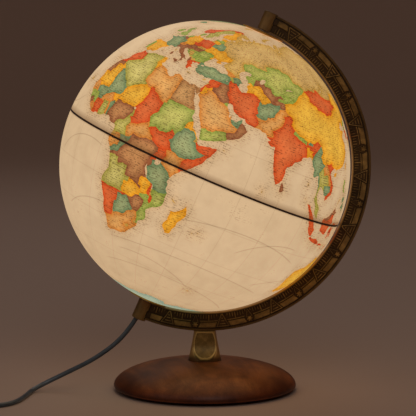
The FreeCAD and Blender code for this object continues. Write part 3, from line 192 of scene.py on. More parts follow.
BORDERS = """
-13.6 27.67,-8.67 27.67/-8.67 27.67,-8.67 26,-12 26,-12 23.5,-13 23,-13 21.33,-17.4 21.1/-8.67 27.67,
-8.67 28.7,-5.5 29.8,-3.6 30.9,-1.2 32.1,-1.7 33.5,-2.2 35.6/-8.67 27.67,-4.8 25,1.2 21.1,3.2 19.1,4.2 19.1,
12 23.5,14.2 22.6,16 23.5,24 19.5,24 20,25 20,25 29.2,24.9 30.8,25.2 32/-4.8 25,-6.5 25,-5.5 15.6,-9.3 15.5,
-12.2 14.8,-13.5 16.1,-14.5 16.6,-16.9 16.1/12 23.5,10 24.5,9.5 26.5,9.9 28,9.5 30.3,9.1 32.1,7.6 33.5,
8.3 35.2,8.6 37.3/9.5 30.3,10.3 31.8,11.6 33.5/25 22,31.3 22,37.3 22/14.9 23,15.9 20,15.5 16.9,13.6 13.5/
4.2 19.1,4.2 16.5,3.5 15.4,.2 15,1 13.4,2.3 12,2.8 12.4,3.6 11.7,4.1 13.5,7 13.1,10 13.3,12.5 13.2,
13.6 13.5/.2 15,-2 14.2,-4 13.2,-5.4 11.8,-5.5 10.4,-8 10.2,-8.5 11.4,-9.3 12.4,-11.4 12.2,-12.2 14.8/
-11.4 12.2,-13.7 12.6,-17 12.3/-13.7 12.6,-13.7 11.7,-15.3 10.9/-13.5 9,-12.5 9.9,-11.1 9.9,-10.3 8.5,
-11.7 6.8/-10.3 8.5,-9.5 8.4,-8.5 7.6,-7.4 5.8,-7.6 4.2/-8.5 7.6,-8 10.2/-5.5 10.4,-2.8 9.7,-3.2 6.6,
-3.1 4.9/-2.8 9.7,-2.8 11,.9 11,2.3 12/0 11,.5 8.5,1.2 5.8/.9 11,1.6 9,1.7 5.9/3.6 11.7,2.7 8.5,2.7 6.1/
13.9 12.9,14.2 11.3,13.2 9.6,11.8 7.3,10.1 7,8.8 5.8,8.5 4.4/14.3 12.9,15 11,15.1 10,13.9 9.6,15.5 7.5,
14.5 5.5,16.2 2.2,13.3 2.2,9.6 2.3/11.3 2.2,11.3 1,9.2 1/13.3 2.2,14 1.3,14.5 -.5,14.4 -2,12.5 -2.3,10.8 -4/
15.5 7.5,18.6 8.2,22.9 11,22 12.7,22.5 14,24 15.7,24 19.5/22.9 11,23.6 9,27.4 5.1,24.5 5,22.4 4.1,18.6 4.4,
18.6 3.5,16.2 2.2/18.6 3.5,17.8 .3,16.2 -2.2,15.3 -4.4,13.1 -4.6,11.9 -5.1/12 -6,16.8 -5.9,16.8 -7.2,
17.5 -8.1,19.5 -7.1,21.8 -7.3,21.9 -11,24 -11,24 -13,22 -13,22 -16.2,23.3 -17.6,18.5 -17.4,14 -17.4,
11.6 -17.2/23.3 -17.6,25.2 -17.8,23.5 -18.5,21 -18.2,21 -22,20 -22,20 -28.4,17.5 -28.8,16.2 -28.6/20 -24.8,
20.7 -26.8,22.6 -26,25.5 -25.7,26.9 -23.7,29.4 -22.2,31.3 -22.4,32 -24.5,31.9 -26.8,33.1 -26.9/25.2 -17.8,
27.7 -20.5,29.4 -22.2/25.2 -17.8,27 -17.9,28.9 -16,30.4 -15.7,32.9 -16.8,32.8 -19.5,31.3 -22.4/27 -29.6,
28.6 -28.6,29.4 -29.6,28.2 -30.6,27 -29.6/30.8 -26.5,31.3 -25.8,32 -26.3,31.9 -27.2,31 -27.2,30.8 -26.5/
30.4 -15.7,30.2 -14.9,33.2 -14,32.9 -12.4,33.6 -10.3,33 -9.4,31 -8.5/33.2 -14,34.5 -14.5,34.4 -16.2,
35.3 -17.1,35.8 -15.9,35.8 -14.8,34.8 -13.6/33 -9.4,34.1 -9.7/34.5 -11.4,37.5 -11.7,38.8 -11.3,40.9 -10.4/
31 -8.5,28.9 -8.5,28.4 -9.3,28.5 -11.9,29.8 -12.2,29.8 -13.4,28.4 -12.6,27 -12,25.3 -11.3,24 -11/29.2 -3.5,
29 -2.7,29.6 -1.4,29.7 0,31.2 2.2,30.8 3.6,27.4 5.1/29.4 -4.4,30.8 -3.3,30.8 -2.4,30.5 -1.1,31.9 -1/
29.6 -1.4,30.5 -1.1/29 -2.7,30.8 -2.4/33.9 0,34.5 1.1,35 2,34 4.2/30.8 3.6,34 4.2,35.9 4.6,36.9 4.4,
39.5 3.5,41.9 3.9,41 2.8,41 -.9,42 -2/33.9 -1,37.6 -3,39.5 -4.9/41.9 3.9,45 5,48 8,44 9,42.9 10.9,41.8 11,
42.4 12.5,43.3 12.7/42.9 10.9,43.4 11.6/42.4 12.5,40.5 14.5,38 14.7,36.5 14.3,37 17,38.8 18.1/36.5 14.3,
36 12.7,34.3 10.6,34 8.6,33 7.9,35 5.5,35.9 4.6/23.6 9,26 10.3,28 9.4,31 9.8,32.5 12,34.3 10.6/34.2 31.4,
34.9 29.3/34.9 29.3,35.5 31.5,35.6 32.7,36.8 32.3,38.8 33.4,39.2 32.1,37 31.5,38 30.5,36.1 29.2,34.9 29.2/
34.9 33.1,35.6 33.3,36.5 34.3,35.8 34.8/35.6 32.7,35.7 33.4/39.2 32.1,42 31.1,44.7 29.2,46.5 29.1,47.5 30.1,
48.3 29.9/46.5 29.1,47.6 28.6,48.7 28.5/38.8 33.4,41 34.5,41.3 36.5,42.4 37.1/35.7 35.9,36.7 36.7,38.5 36.8,
42.4 37.1,44.8 37.2,46 35.6,45.6 34,47.7 31.5,48.5 29.9/44.8 37.2,44.3 39.4,44.8 39.7,43.6 40.5,43.5 41.1,
41.3 41.5/39.8 43.5,42.5 43.3,44.7 42.7,46.4 41.9,48.9 41.8/43.5 41.1,45 41.3,46.4 41.9/45 41.3,45.6 40.3,
46.5 39,44.8 39.7/46.5 39,48 39.5,48.1 38.8,49 38.4/53.7 37.3,56 38,59.3 37.5,61.1 36.6,60.9 34,60.6 33,
61.8 31,60.9 29.9,62.8 28,63.2 27.2,61.7 25/60.9 29.9,62.5 29.4,66.3 29.9,66.4 31,69.3 31.9,70 34,71.5 36.3,
74.6 37.1/61.1 36.6,62.3 35.3,64.5 36.3,66.5 37.4,65.6 38.3,62 40,60 42.2,58.5 42.6,57.8 42.2,56 41.3,
54 42.3,52.5 41.8/56 41.3,56 45,58.6 45.4/60.6 45,62 43.5,65 43.7,66 42,68.3 40.9,71 42.3,73.5 43,80.2 42.2,
76.5 40.5,73.7 39.4,74.6 37.1/66.5 37.4,68 37,71.3 38,71.6 36.7,74.6 37.1/68 37,68 38.8,70.5 40.8,73 40.8,
71 42.3/70.5 40.8,69.6 39.6,73.7 39.4/49.4 46.4,48 47.8,47 49,47 50.2,51 51.6,55 50.9,58.5 51,61.5 51.4,
60 53.5,62 54.1,69 55.3,72 54.2,76.5 54.2,77.8 53.2,80 50.8,83.5 51,87.3 49.1,85.5 47.1,82.5 45.3,80.2 42.2/
87.3 49.1,91 46.8,91 45.2,95.4 44.2,97 42.7,101.5 42.5,105 41.6,110 42.6,111.9 43.7,112 45,116.5 46.4,
119.8 46.6,118 47.9,115.7 47.8,116.7 49.8/87.3 49.1,92 50.7,98 50.5,98.3 52.1,102 51.4,104 50.2,108 49.4,
112 49.4,116.7 49.8,119.8 52.3,120.5 53.3,125.5 53,127.5 50.2,130.6 48.8,134.7 48.3,133 45,131 44.8,
131 42.9,130.6 42.4,128 42,126.5 41.6,124.2 39.9/130.6 42.4,131 41.8/125 37.3,127 38.2,128.6 38.7/67.9 23.6,
71 24.4,70 26.5,72 28,74.4 31,75 32.5,74 34,77 35.4,74.6 37.1/77 35.4,79 34.3,78.5 32,81 30.2,84 28.8,
88.1 27.9,88.9 27.3,90 28.2,91.7 27.8,94 29.3,97.3 28.2,98.7 26,97.6 24,99 22.1,101.2 21.5/81 30.2,
80.1 28.8,84 27.4,88.1 26.4,88.1 27.9/88.9 27.3,89 26.8,92 26.8,91.7 27.8/88.9 21.5,88.7 24.3,88.2 25.8,
89.8 26,90 25.2,92.4 25,91.3 23.8,92.3 23.5,92.4 20.6/92.3 22,93.3 24,94.7 25.5,97.3 28.2/101.2 21.5,
100.1 20.4,97.8 18.3,98.6 16,99.2 13,98.8 10.5,98.4 10/100.1 20.4,101 17.7,104 18.3,104.8 16.4,105.6 14.3,
102.6 14,102.9 11.5/102.2 22.4,104.5 20,105.5 18.3,107.5 15.4,107.5 12.4,106 11,104.3 10.3/101.2 21.5,
102.2 22.4,105.5 23.2,106.7 22,108.2 21.4/105.6 14.3,107.5 14.6/99.9 6.5,101 5.7,102.3 6.4/42.2 16.5,
44 17.4,47 17,48.2 18.2,52 19,53.2 16.4/52 19,55 20,55.6 22,52.6 22.9,51.4 24.5/55.6 22,56 24.1,56.5 24.9/
50.7 24.7,51.6 24.6/109.3 2,111 1.3,113 1.4,115 2.6,115.8 4.2,118 4.1/141 -2.4,141 -9.4/-9 41.9,-6.5 41.8,
-7 40,-7.2 38.5,-7.4 37.1/-1.8 43.9,.7 42.7,3.3 42.4/7.4 43.6,7 44.5,7 45.9,6 46.3,7.5 47.6,8.1 49,6.3 49.5,
4.2 50,2.4 51.2/6.3 49.5,6.1 50.8,6 51.8,7.1 52.5,7.1 53.7/6.1 50.8,5 51.4,3.2 51.4/8.4 54.9,10 54.8/
14.2 54.1,14.6 52.5,14.9 51,12.3 50.3,13.8 48.7,12.9 47.6,9.7 47.5,7.5 47.6/7 45.9,9 46,10.4 46.7,12.3 46.8,
13.7 46.5,13.5 45.5/10.4 46.7,9.7 47.5/13.4 45.4,15.2 45.6,16.5 46.5,18.9 45.9,20.3 46.1,22.9 48/13.7 46.5,
16.1 46.8,17.1 48,19 48,22.2 48.4,22.9 48,24.8 47.8,26.6 48.3,28.2 46.4,28.2 45.5,29.8 45.3/14.9 51,
16.7 50.2,18.9 49.5,20 49.3,22.6 49.1,24 50.6,23.6 51.6,23.6 52.6,23.5 53.9,22.8 54.4,19.4 54.8/18.9 49.5,
17 48.7,15 49,13.8 48.7/17 48.7,17.1 48/22.6 49.1,22.2 48.4/22.8 54.4,22.6 55,20.3 55.4/23.5 53.9,25.8 54.3,
26.6 55.7,24 56.3,20.9 56.1/24.1 57.9,25.3 58,27.4 57.5,27.7 57,28.2 56.1,26.6 55.7/27.4 57.5,27.5 58.9,
28.1 59.6/28.2 56.1,31 55,31.5 53.2,31.8 52.1,30.5 51.4,27 51.7,23.6 51.6/31.8 52.1,34 51.8,35.5 50.4,
38 49.9,40 49.6,39.7 47.8,38.2 47/27.7 60.4,31.5 62.9,29.5 64.8,30 67.7,28.5 68.5,28.9 69,28 70,26 69.8,
25.7 69.1,23 68.7,20.6 69.1,23.7 67.5,24.1 65.6/28.9 69,31 69.9/20.6 69.1,18 68.4,15 66,14 64.3,12.2 62.5,
12.5 60.5,11 58.8/15.2 45.6,17 45.2,19 44.9,18.9 45.9/17 45.2,15.8 44.9,16.5 44,18.4 42.6,19.4 43.6,19 44.9/
18.4 42.4,20.3 42.8,20.5 42/20.3 46.1,21.5 44.8,22.7 44.2,25.5 43.7,27 44.1,28.8 43.7/22.7 44.2,22.4 42.3,
22.9 41.3,26.3 41.7,28.1 42/26.3 41.7,26.1 40.7/26.6 48.3,29.2 47.9,30 46.4,28.2 45.5/19.2 42,20.5 42,
20.6 41,21 40.8,20 39.5/20.6 41,22.9 41.3/22.4 42.3,20.5 42/-124.4 49,-95 49,-90 47.2/-85 46.9,-83.7 45.8/
-82.4 43.4,-83.2 41.8/-79 42.8,-79.4 43.4/-76.5 44,-74.7 45,-71.5 45,-69.2 47.4,-67.8 47,-66.8 44.6/
-141 69.9,-141 60.3,-137 59,-135 59.7,-130 56,-130.3 54.2/-117.3 32.5,-114.8 32.5,-111 31.3,-106.5 31.8,
-103 29,-101 29.8,-99.5 27.5,-97 25.9/-92.3 14.3,-91.5 17.5,-89.1 17.8,-88.1 18.4/-88.3 15.7,-89.4 14.4,
-87.6 12.9/-87.4 13,-85 14.5,-83 15/-85.8 11.1,-83.5 10.9/-82.9 8.1,-82.5 9.8/-77.9 7.1,-77.2 8.8/-71 12.3,
-72.5 9,-70 7,-67.5 6.2,-67 1.2,-70 0,-70 -4.2,-75.2 -.1,-78.9 1.6/-75.2 -.1,-78 -3.5,-80.5 -3.5/-60 8.6,
-61 5,-60 5.1,-59.5 1.5,-56.5 2,-54.5 2.3,-52.8 2.3,-51.4 4.4/-67 1.2,-63.5 2.2,-61 5/-57.3 6.2,-58 4,
-56.5 2/-54 6,-54.5 2.3/-70 -4.2,-73.5 -7,-70.6 -9.6,-69.5 -11,-69 -16,-69.5 -17.5,-70.6 -18.4/-69.5 -11,
-65.3 -10,-60 -14,-58 -17,-58 -20,-62.5 -22.3,-67 -22.8,-68.5 -20,-69.5 -17.5/-67 -22.8,-68.5 -25,-70 -30,
-70 -34,-71.5 -38,-71.8 -43,-72.5 -48,-72.3 -51,-68.2 -52.3/-68.6 -52.5,-68.6 -55.4/-62.5 -22.3,-58 -25,
-57.6 -27.3,-54.5 -26,-54.3 -24,-58 -22,-58 -20/-54.5 -26,-53.7 -27,-57.6 -30.2,-58.4 -34.1/-57.6 -30.2,
-53.2 -33.6/-71.8 20,-71.7 17.9
"""
# One point inside each country of a colour. Land that has no point here takes the colour "ochre".
COUNTRIES = {
    "ochre": "60 60, 100 62, 40 55, 45 50, 160 66, 185 66.5, 55 80.6, 60 75, 100 79.5",
    "ice": "18 -72, 90 -75, 0 -80, -120 -77, 170 -80",
    "red": "-6 31, 20 13, 29 8, 47 6.5, 44 2.5, 17 -22, 55 32, 76 23, 77.7 34.3, 94 26, 105 47, 107.5 13, "
           "105 21, 102 -1, 110 -7.3, 114 -1, 121 -2, 138 -4, 117 -8.5, 124.8 -9.6, 38 34.8, 19 52, "
           "22 39.5, 34 -12.8, -6 7.5, -102 24, -64 -35, 33 1.8, 128.2 .9, 129.5 -3.3, 120 -9.9, 35.1 31.9, "
           "127.5 36, 139 36, 15 49.8, 9 61.5",
    "orange": "17 27, 24 -29, 46 24, 69 28, 38 .8, 11.5 .6, 11.5 -1.5, -2 12.5, 20 7, 22 7, 38 -1.5, "
              "-9.3 6.3, .9 7.5, -14 14.8, 43.6 42, -100 58, -48 -12, 8 46.9, 102.5 19.5, -76 69, -79 81, "
              "-108 71, -66 51",
    "yellow": "10 17, -10 20, 9.8 34.5, 59 39.5, 47 -19, 46.8 -16.5, 27 -14.5, 90.5 24, 31 49, 100 35, "
              "121 23.7, 109.8 19.2, 133 -25, 36.8 31.3, 10.5 51, 39.5 15.4, 147 -42, 24.9 59, -4 40, "
              "26 63, -64 -17, -74 4, -56 -24, 24 55",
    "olive": "2 28, 17 -12, 12 5.5, 101 15, -1.2 7.7, -14.8 12, 16 45.6, -75 -9, 16 64.5, 45 40.2",
    "teal": "-2 18, 39 9, 35 -6, 22.5 -22, 66 33.5, 96 21, 104.9 12.7, 2 47, 33 39, 15 -.8, 15 1, 54 23.5, "
            "-19 65, 125 8, 124 11, 28 53.5, 2.2 8.6, -66 7, -42 75, 172 -44, 176 -39, 90.5 27.5, 47.5 40.3",
    "tan": "30 26",
    "brown": "8 9.5, 24 -3, 24 2.5, 30 -19.5, 43.5 33, 57 21, 63.5 42, 80.8 7.5, 9.2 45.5, 115 3.2, "
             "102.5 4, 9 39.9, 14.2 37.6, -13 26, 4.5 50.6, -96 39, -60 5, -11.8 8.4, 30 -2, 30 -3.2, "
             "19.5 47, 145 -6.5, 70 38.4, 14 47.4, 20 41.5, 12.2 42.9, 16.2 40.3, -151 64, -77.8 0",
    "green": "48 15.5, 30 15, 34 -18, 38 -14, 26 43, 67 48, -3 54, -8 53, -69.5 -24, -89 15.5, -85 13, "
             "-80 22, -10.5 10.8, 84 28.2, 47.8 29.2, 127 40, 21 44, 25 46, 24.8 56.8, 5.5 52, 76 41.6, "
             "-8 40, 121.5 17, 9.2 56, 29 47",
}
SEAS = ("-30 0, 5 39.5, 18 35.5, 15 43, 28.5 34, 38 20, 52 26.8, 34 43.4, 36.5 46.2, 28.4 40.7, 19 57, "
        "22 60, 51 39, 50.5 45.5, 60 45")


# ---- the camera, the floor and the light ----
camera = bpy.data.objects.new("camera", bpy.data.cameras.new("camera"))
bpy.context.scene.collection.objects.link(camera)
bpy.context.scene.camera = camera
camera.location = (0, -2.1, 0.412)
camera.rotation_euler = (math.radians(90 - 6.02), 0, math.radians(-0.09))
camera.data.lens = 176.4
camera.data.clip_end = 60


# ---- node helpers ----
class Shader:
    """A node material that starts as one Principled shader."""

    def __init__(self, name, **settings):
        self.material = bpy.data.materials.new(name)
        self.material.use_nodes = True
        self.tree = self.material.node_tree
        self.bsdf = self.tree.nodes["Principled BSDF"]
        self.feed(self.bsdf, settings)
        self.coords = self.put("ShaderNodeTexCoord").outputs["Object"]

    def feed(self, node, values):
        for key, value in values.items():
            socket = node.inputs[key if isinstance(key, int) else key.replace("_", " ")]
            if isinstance(value, bpy.types.NodeSocket):
                self.tree.links.new(value, socket)
            else:
                socket.default_value = value

    def put(self, kind, settings=None, **values):
        node = self.tree.nodes.new(kind)
        for key, value in (settings or {}).items():
            setattr(node, key, value)
        self.feed(node, values)
        return node

    def sums(self, operation, *values):
        node = self.put("ShaderNodeMath", {"operation": operation})
        self.feed(node, dict(enumerate(values)))
        return node.outputs[0]

    def vector(self, operation, *values, output="Vector"):
        node = self.put("ShaderNodeVectorMath", {"operation": operation})
        self.feed(node, dict(enumerate(values)))
        return node.outputs[output]

    def scaled(self, factors, source=None):
        return self.vector("MULTIPLY", source or self.coords, factors)

    def noise(self, scale, detail=3.0, roughness=0.55, source=None, distortion=0.0):
        return self.put("ShaderNodeTexNoise", None, Vector=source or self.coords, Scale=scale, Detail=detail,
                        Roughness=roughness, Distortion=distortion).outputs["Fac"]

    def ramp(self, source, *stops):
        node = self.put("ShaderNodeValToRGB", None, Fac=source)
        elements = node.color_ramp.elements
        while len(elements) < len(stops):
            elements.new(0.5)
        for element, (place, colour) in zip(elements, stops):
            element.position = place
            element.color = colour if len(colour) == 4 else (*colour, 1)
        return node.outputs["Color"]

    def level(self, source, low, high, out_low=0.0, out_high=1.0):
        return self.put("ShaderNodeMapRange", {"clamp": True}, Value=source, From_Min=low, From_Max=high,
                        To_Min=out_low, To_Max=out_high).outputs[0]

    def mix(self, factor, first, second, blend="MIX"):
        node = self.put("ShaderNodeMix", {"data_type": "RGBA", "blend_type": blend})
        self.feed(node, {0: factor, 6: first, 7: second})
        return node.outputs[2]

    def bump(self, height, distance, strength=1.0):
        node = self.put("ShaderNodeBump", None, Height=height, Distance=distance, Strength=strength)
        self.feed(self.bsdf, {"Normal": node.outputs[0]})

    def radius_about(self, centre, axis):
        """How far a point is from a line through centre along axis."""
        across = self.vector("CROSS_PRODUCT", self.vector("SUBTRACT", self.coords, tuple(centre)), tuple(axis))
        return self.vector("LENGTH", across, output="Value")

    def attribute(self, name, output="Fac"):
        return self.put("ShaderNodeAttribute", {"attribute_name": name}).outputs[output]


def linear(*screen):
    """A colour as a screen shows it, 0 to 255, as the renderer's linear numbers."""
    return tuple((c / 255 / 12.92 if c <= 10 else ((c / 255 + 0.055) / 1.055) ** 2.4) for c in screen) + (1,)


def add_mesh(name, bm, body, slot, *materials):
    """A piece from a bmesh, which rides on a body. slot is not used."""
    mesh = bpy.data.meshes.new(name)
    bm.to_mesh(mesh)
    bm.free()
    piece = bpy.data.objects.new(name, mesh)
    bpy.context.scene.collection.objects.link(piece)
    for material in materials:
        mesh.materials.append(material)
    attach(piece, body)
    return piece


def area_light(name, place, target, size, power, colour):
    light = bpy.data.objects.new(name, bpy.data.lights.new(name, "AREA"))
    bpy.context.scene.collection.objects.link(light)
    light.data.shape = "DISK"
    light.data.size = size
    light.data.energy = power
    light.data.color = colour
    light.location = place
    light.rotation_euler = (Vector(target) - Vector(place)).to_track_quat("-Z", "Y").to_euler()


# The floor runs out flat and then curves up all round, so that no horizon shows from any side.
FLAT_R, SWEEP_R, BACKDROP_TOP = 3.0, 2.2, 6
SWEEP_STEPS, AROUND = 16, 96
floor_mesh = bmesh.new()
profile = [(1, 0), (2, 0), (FLAT_R, 0)]
for i in range(1, SWEEP_STEPS + 1):
    angle = math.pi / 2 * i / SWEEP_STEPS
    profile.append((FLAT_R + SWEEP_R * math.sin(angle), SWEEP_R - SWEEP_R * math.cos(angle)))
profile.append((FLAT_R + SWEEP_R, BACKDROP_TOP))
rings = [[floor_mesh.verts.new((r * math.cos(math.tau * i / AROUND), r * math.sin(math.tau * i / AROUND), z))
          for i in range(AROUND)] for r, z in profile]
hub = floor_mesh.verts.new((0, 0, 0))
for i in range(AROUND):
    j = (i + 1) % AROUND
    floor_mesh.faces.new((hub, rings[0][i], rings[0][j]))
    for low, high in zip(rings, rings[1:]):
        floor_mesh.faces.new((low[i], high[i], high[j], low[j])).smooth = True
floor_data = bpy.data.meshes.new("floor")
floor_mesh.to_mesh(floor_data)
floor_mesh.free()
floor = bpy.data.objects.new("floor", floor_data)
bpy.context.scene.collection.objects.link(floor)
paper = Shader("floor_paper", Base_Color=linear(186, 161, 146), Roughness=0.8)
floor_data.materials.append(paper.material)

world = bpy.data.worlds.new("world")
world.use_nodes = True
world.node_tree.nodes["Background"].inputs[0].default_value = (0.6, 0.49, 0.43, 1)
world.node_tree.nodes["Background"].inputs[1].default_value = 0.27
bpy.context.scene.world = world
bpy.context.scene.view_settings.view_transform = "Standard"
area_light("key", (0.3, -2.2, 1.8), (0, 0, 0.15), 1.6, 8, (1.0, 0.95, 0.9))
area_light("fill", (-1.8, -1.2, 1.4), (0, 0, 0.2), 1.6, 2.5, (1.0, 0.93, 0.87))
area_light("rim", (-0.3, 1.8, 1.9), (0, 0, 0.2), 1.4, 3.4, (1.0, 0.95, 0.92))


# ---- the leads ----
CORD_R = 0.0024
COIL_CENTRE = Vector((-0.2724, -0.005))
LAYERS = (0.003, 0.00785)                    # heights of the coil's lower and upper turns
OUTER_TURN, SPACING = 0.0342, 0.0048
TURNS, POINTS_A_TURN = 8, 16
ROUTE_TO_SWITCH = [(-.07119, 0, .07577), (-.0832, 0, .0562), (-.1125, -.003, .0338), (-.1445, -.0045, .0182),
                   (-.1785, -.0125, .0028), (-.1835, -.05, .0024), (-.1905, -.08, .0024),
                   (-.2035, -.0955, .0024), (-.2225, -.1023, .0034), (-.2406, -.097, .007)]
ROUTE_TO_COIL = [(-.2876, -.0665, .007), (-.2996, -.0545, .0048), (-.3064, -.036, .003), (-.3066, -.005, .003)]
ROUTE_TO_PLUG = [(-.3066, -.005, .00785), (-.3068, .011, .0062), (-.304, .0265, .0042), (-.2965, .04, .0067)]


def coil_turns():
    """Turns inwards on the surface, half a turn up, and as many outwards on top of them, all clockwise. A turn
    keeps its radius for three quarters of its way and then moves over by one diameter."""
    points = []
    for step in range(TURNS * POINTS_A_TURN + 1):
        turn = step / POINTS_A_TURN
        to_end = min(turn, TURNS - turn)
        whole, part = divmod(to_end, 1)
        moved = whole + (0 if whole >= TURNS / 2 - 1 else max(0, part - 0.75) * 4)
        radius = OUTER_TURN - SPACING * min(moved, TURNS / 2 - 1)
        risen = min(1, max(0, (turn - TURNS / 2 + 0.25) * 2))
        height = LAYERS[0] + (LAYERS[1] - LAYERS[0]) * risen
        angle = math.pi - math.tau * turn
        points.append((COIL_CENTRE.x + radius * math.cos(angle), COIL_CENTRE.y + radius * math.sin(angle),
                       height))
    return points


def add_cord(name, points, body, material):
    curve = bpy.data.curves.new(name, "CURVE")
    curve.dimensions = "3D"
    curve.bevel_depth = CORD_R
    curve.bevel_resolution = 5
    curve.resolution_u = 10
    curve.use_fill_caps = True
    spline = curve.splines.new("NURBS")
    spline.points.add(len(points) - 1)
    for point, place in zip(spline.points, points):
        point.co = (*place, 1)
    spline.order_u = 3
    spline.use_endpoint_u = True
    cord = bpy.data.objects.new(name, curve)
    bpy.context.scene.collection.objects.link(cord)
    curve.materials.append(material)
    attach(cord, body)
    return cord


cable = Shader("cable", Roughness=0.28, Specular_IOR_Level=0.7)
cable.feed(cable.bsdf, {"Base_Color": cable.ramp(cable.noise(60, 4), (0.3, linear(54, 66, 76)),
                                                 (0.7, linear(84, 99, 112)))})
cable.bump(cable.noise(900, 2), 0.00006, 0.5)



# ---- the printed globe ----
WEST, EAST = -169.0, 191.0                   # the map's two edges, which meet
NORTH, SOUTH = 88.09, -82.72                 # where the holes at the poles begin
GRID_STEP = 1.15
FINE = 0.55                                  # coast and border lines are broken up to this many degrees
GROOVE = 0.38                                # half the joint line's width
JOINT_R, INSIDE_R = 0.1496, 0.1485           # the skin at the joint line, and its inner side
FAR = 6                                      # "edge", the degrees to the nearest border, counts no higher
PALETTE = {                                  # the middle of a country, and its darker edge
    "red": ((228, 118, 66), (210, 70, 22)), "orange": ((228, 174, 104), (212, 124, 40)),
    "yellow": ((241, 186, 70), (234, 150, 20)), "olive": ((212, 196, 116), (160, 150, 56)),
    "teal": ((168, 173, 121), (98, 128, 88)), "brown": ((204, 146, 92), (140, 76, 48)),
    "green": ((202, 195, 106), (132, 152, 58)), "sand": ((222, 172, 100), (196, 128, 56)),
    "ochre": ((220, 180, 112), (196, 150, 62)), "sea": ((219, 189, 149), (214, 177, 131)),
    "tan": ((206, 158, 100), (164, 108, 60)), "ice": ((178, 196, 172), (150, 178, 158)),
    "ink": ((24, 16, 11), (24, 16, 11)),
}


def lines_of(text):
    return [[tuple(float(n) for n in point.split()) for point in line.split(",")] for line in text.split("/")]


def roughened(start, end):
    """The points after start on a natural-looking line to end."""
    (x0, y0), (x1, y1) = start, end
    length = math.hypot(x1 - x0, y1 - y0)
    if length < FINE:
        return [end]
    middle_x, middle_y = (x0 + x1) / 2, (y0 + y1) / 2
    shift = 0.2 * min(length, 4) / length * noise.noise(Vector((middle_x * 1.7, middle_y * 1.7, length)))
    middle = (middle_x - (y1 - y0) * shift, middle_y + (x1 - x0) * shift)
    return roughened(start, middle) + roughened(middle, end)


def overshot(line, reach=0.4):
    """A border that runs a little past both ends, so that it meets what it ends on."""
    ends = []
    for tip, before in ((line[0], line[1]), (line[-1], line[-2])):
        length = math.dist(tip, before)
        ends.append((tip[0] + (tip[0] - before[0]) * reach / length,
                     tip[1] + (tip[1] - before[1]) * reach / length))
    return ends[:1] + line + ends[1:]


def map_lines():
    """All coasts, shores and borders, with their natural-looking points."""
    for text in (OLD_WORLD, NEW_WORLD, ISLANDS, WATERS, ANTARCTICA, BORDERS):
        closed = text not in (ANTARCTICA, BORDERS)
        for line in lines_of(text):
            if text is BORDERS:
                line = overshot(line)
            drawn = line[:1]
            for start, end in zip(line, line[1:] + (line[:1] if closed else [])):
                drawn += roughened(start, end)
            yield drawn


def triangulated_map():
    """The flat map as triangles: its points, its faces, and the edges that lie on coasts and borders."""
    points, edges = [], []

    def add_line(line):
        first = len(points)
        points.extend(Vector(p) for p in line)
        edges.extend((i, i + 1) for i in range(first, len(points) - 1))

    for line in map_lines():
        add_line(line)
    printed = len(edges)
    near = kdtree.KDTree(len(points))
    for index, point in enumerate(points):
        near.insert((*point, 0), index)
    near.balance()
    rows = [0]
    for edge, groove in ((NORTH, GROOVE), (SOUTH, -GROOVE)):
        count = round(abs(edge - groove) / GRID_STEP)
        rows += [groove + (edge - groove) * i / count for i in range(count + 1)]
    rows.sort()
    for number, lat in enumerate(rows):
        whole = max(24, round(360 * math.cos(math.radians(lat)) / GRID_STEP))
        row = [(WEST, lat)] + [(WEST + 360 * (i + (number % 2) / 2) / whole, lat) for i in range(1, whole)]
        row = [p for p in row if p[0] < EAST - 0.1] + [(EAST, lat)]
        if lat in (SOUTH, NORTH) or abs(lat) <= GROOVE:
            add_line(row)
        else:
            points.extend(Vector(p) for p in row if near.find((*p, 0))[2] > 0.3 or p[0] in (WEST, EAST))
    sides = [(x, lat) for x in (WEST, EAST) for lat in rows]
    add_line(sides[:len(rows)])
    add_line(sides[len(rows):])
    places, out_edges, faces, _, sources, _ = geometry.delaunay_2d_cdt(points, edges, [], 0, 1e-4, True)
    walls = {frozenset(edge) for edge, ids in zip(out_edges, sources) if any(i < printed for i in ids)}
    return [tuple(p) for p in places], [tuple(f) for f in faces], walls


def region_of_faces(faces, walls):
    """The number of each face's region, and the printed edges between two different regions."""
    parent = list(range(len(faces)))

    def root(i):
        while parent[i] != i:
            parent[i] = parent[parent[i]]
            i = parent[i]
        return i

    beside = {}
    for index, face in enumerate(faces):
        for a, b in zip(face, face[1:] + face[:1]):
            key = frozenset((a, b))
            if key in beside and key not in walls:
                parent[root(index)] = root(beside[key])
            beside.setdefault(key, index)
    regions = [root(i) for i in range(len(faces))]
    edge_faces = {}
    for index, face in enumerate(faces):
        for a, b in zip(face, face[1:] + face[:1]):
            edge_faces.setdefault(frozenset((a, b)), []).append(index)
    real = [key for key in walls if len({regions[f] for f in edge_faces.get(key, ())}) > 1]
    return regions, real


def colours_of_regions(places, faces, regions):
    """Each region's colour, from the seas, the lakes and then the seeds of the countries."""
    finder = bvhtree.BVHTree.FromPolygons([(x, y, 0) for x, y in places], faces)

    def region_at(lon, lat):
        return regions[finder.ray_cast(Vector((lon, lat, 1)), Vector((0, 0, -1)))[2]]

    colours = {region_at(*seed): "sea" for seed in lines_of(SEAS)[0]}
    for line in lines_of(WATERS):
        shore = [Vector((*point, 0)) for point in line]
        inside = [[shore[i] for i in corners] for corners in geometry.tessellate_polygon([shore])]
        largest = max(inside, key=lambda corners: geometry.area_tri(*corners))
        middle = sum(largest, Vector()) / 3
        colours[region_at(middle.x, middle.y)] = "sea"
    for colour, seeds in COUNTRIES.items():
        for seed in lines_of(seeds)[0]:
            colours.setdefault(region_at(*seed), colour)
    return colours


def direction(lon, lat):
    """The way from the globe's centre to a place on the map, in the globe's own axes."""
    across, up = math.radians(lon - 51.5), math.radians(lat)
    return Vector((math.cos(up) * math.sin(across), -math.cos(up) * math.cos(across), math.sin(up)))


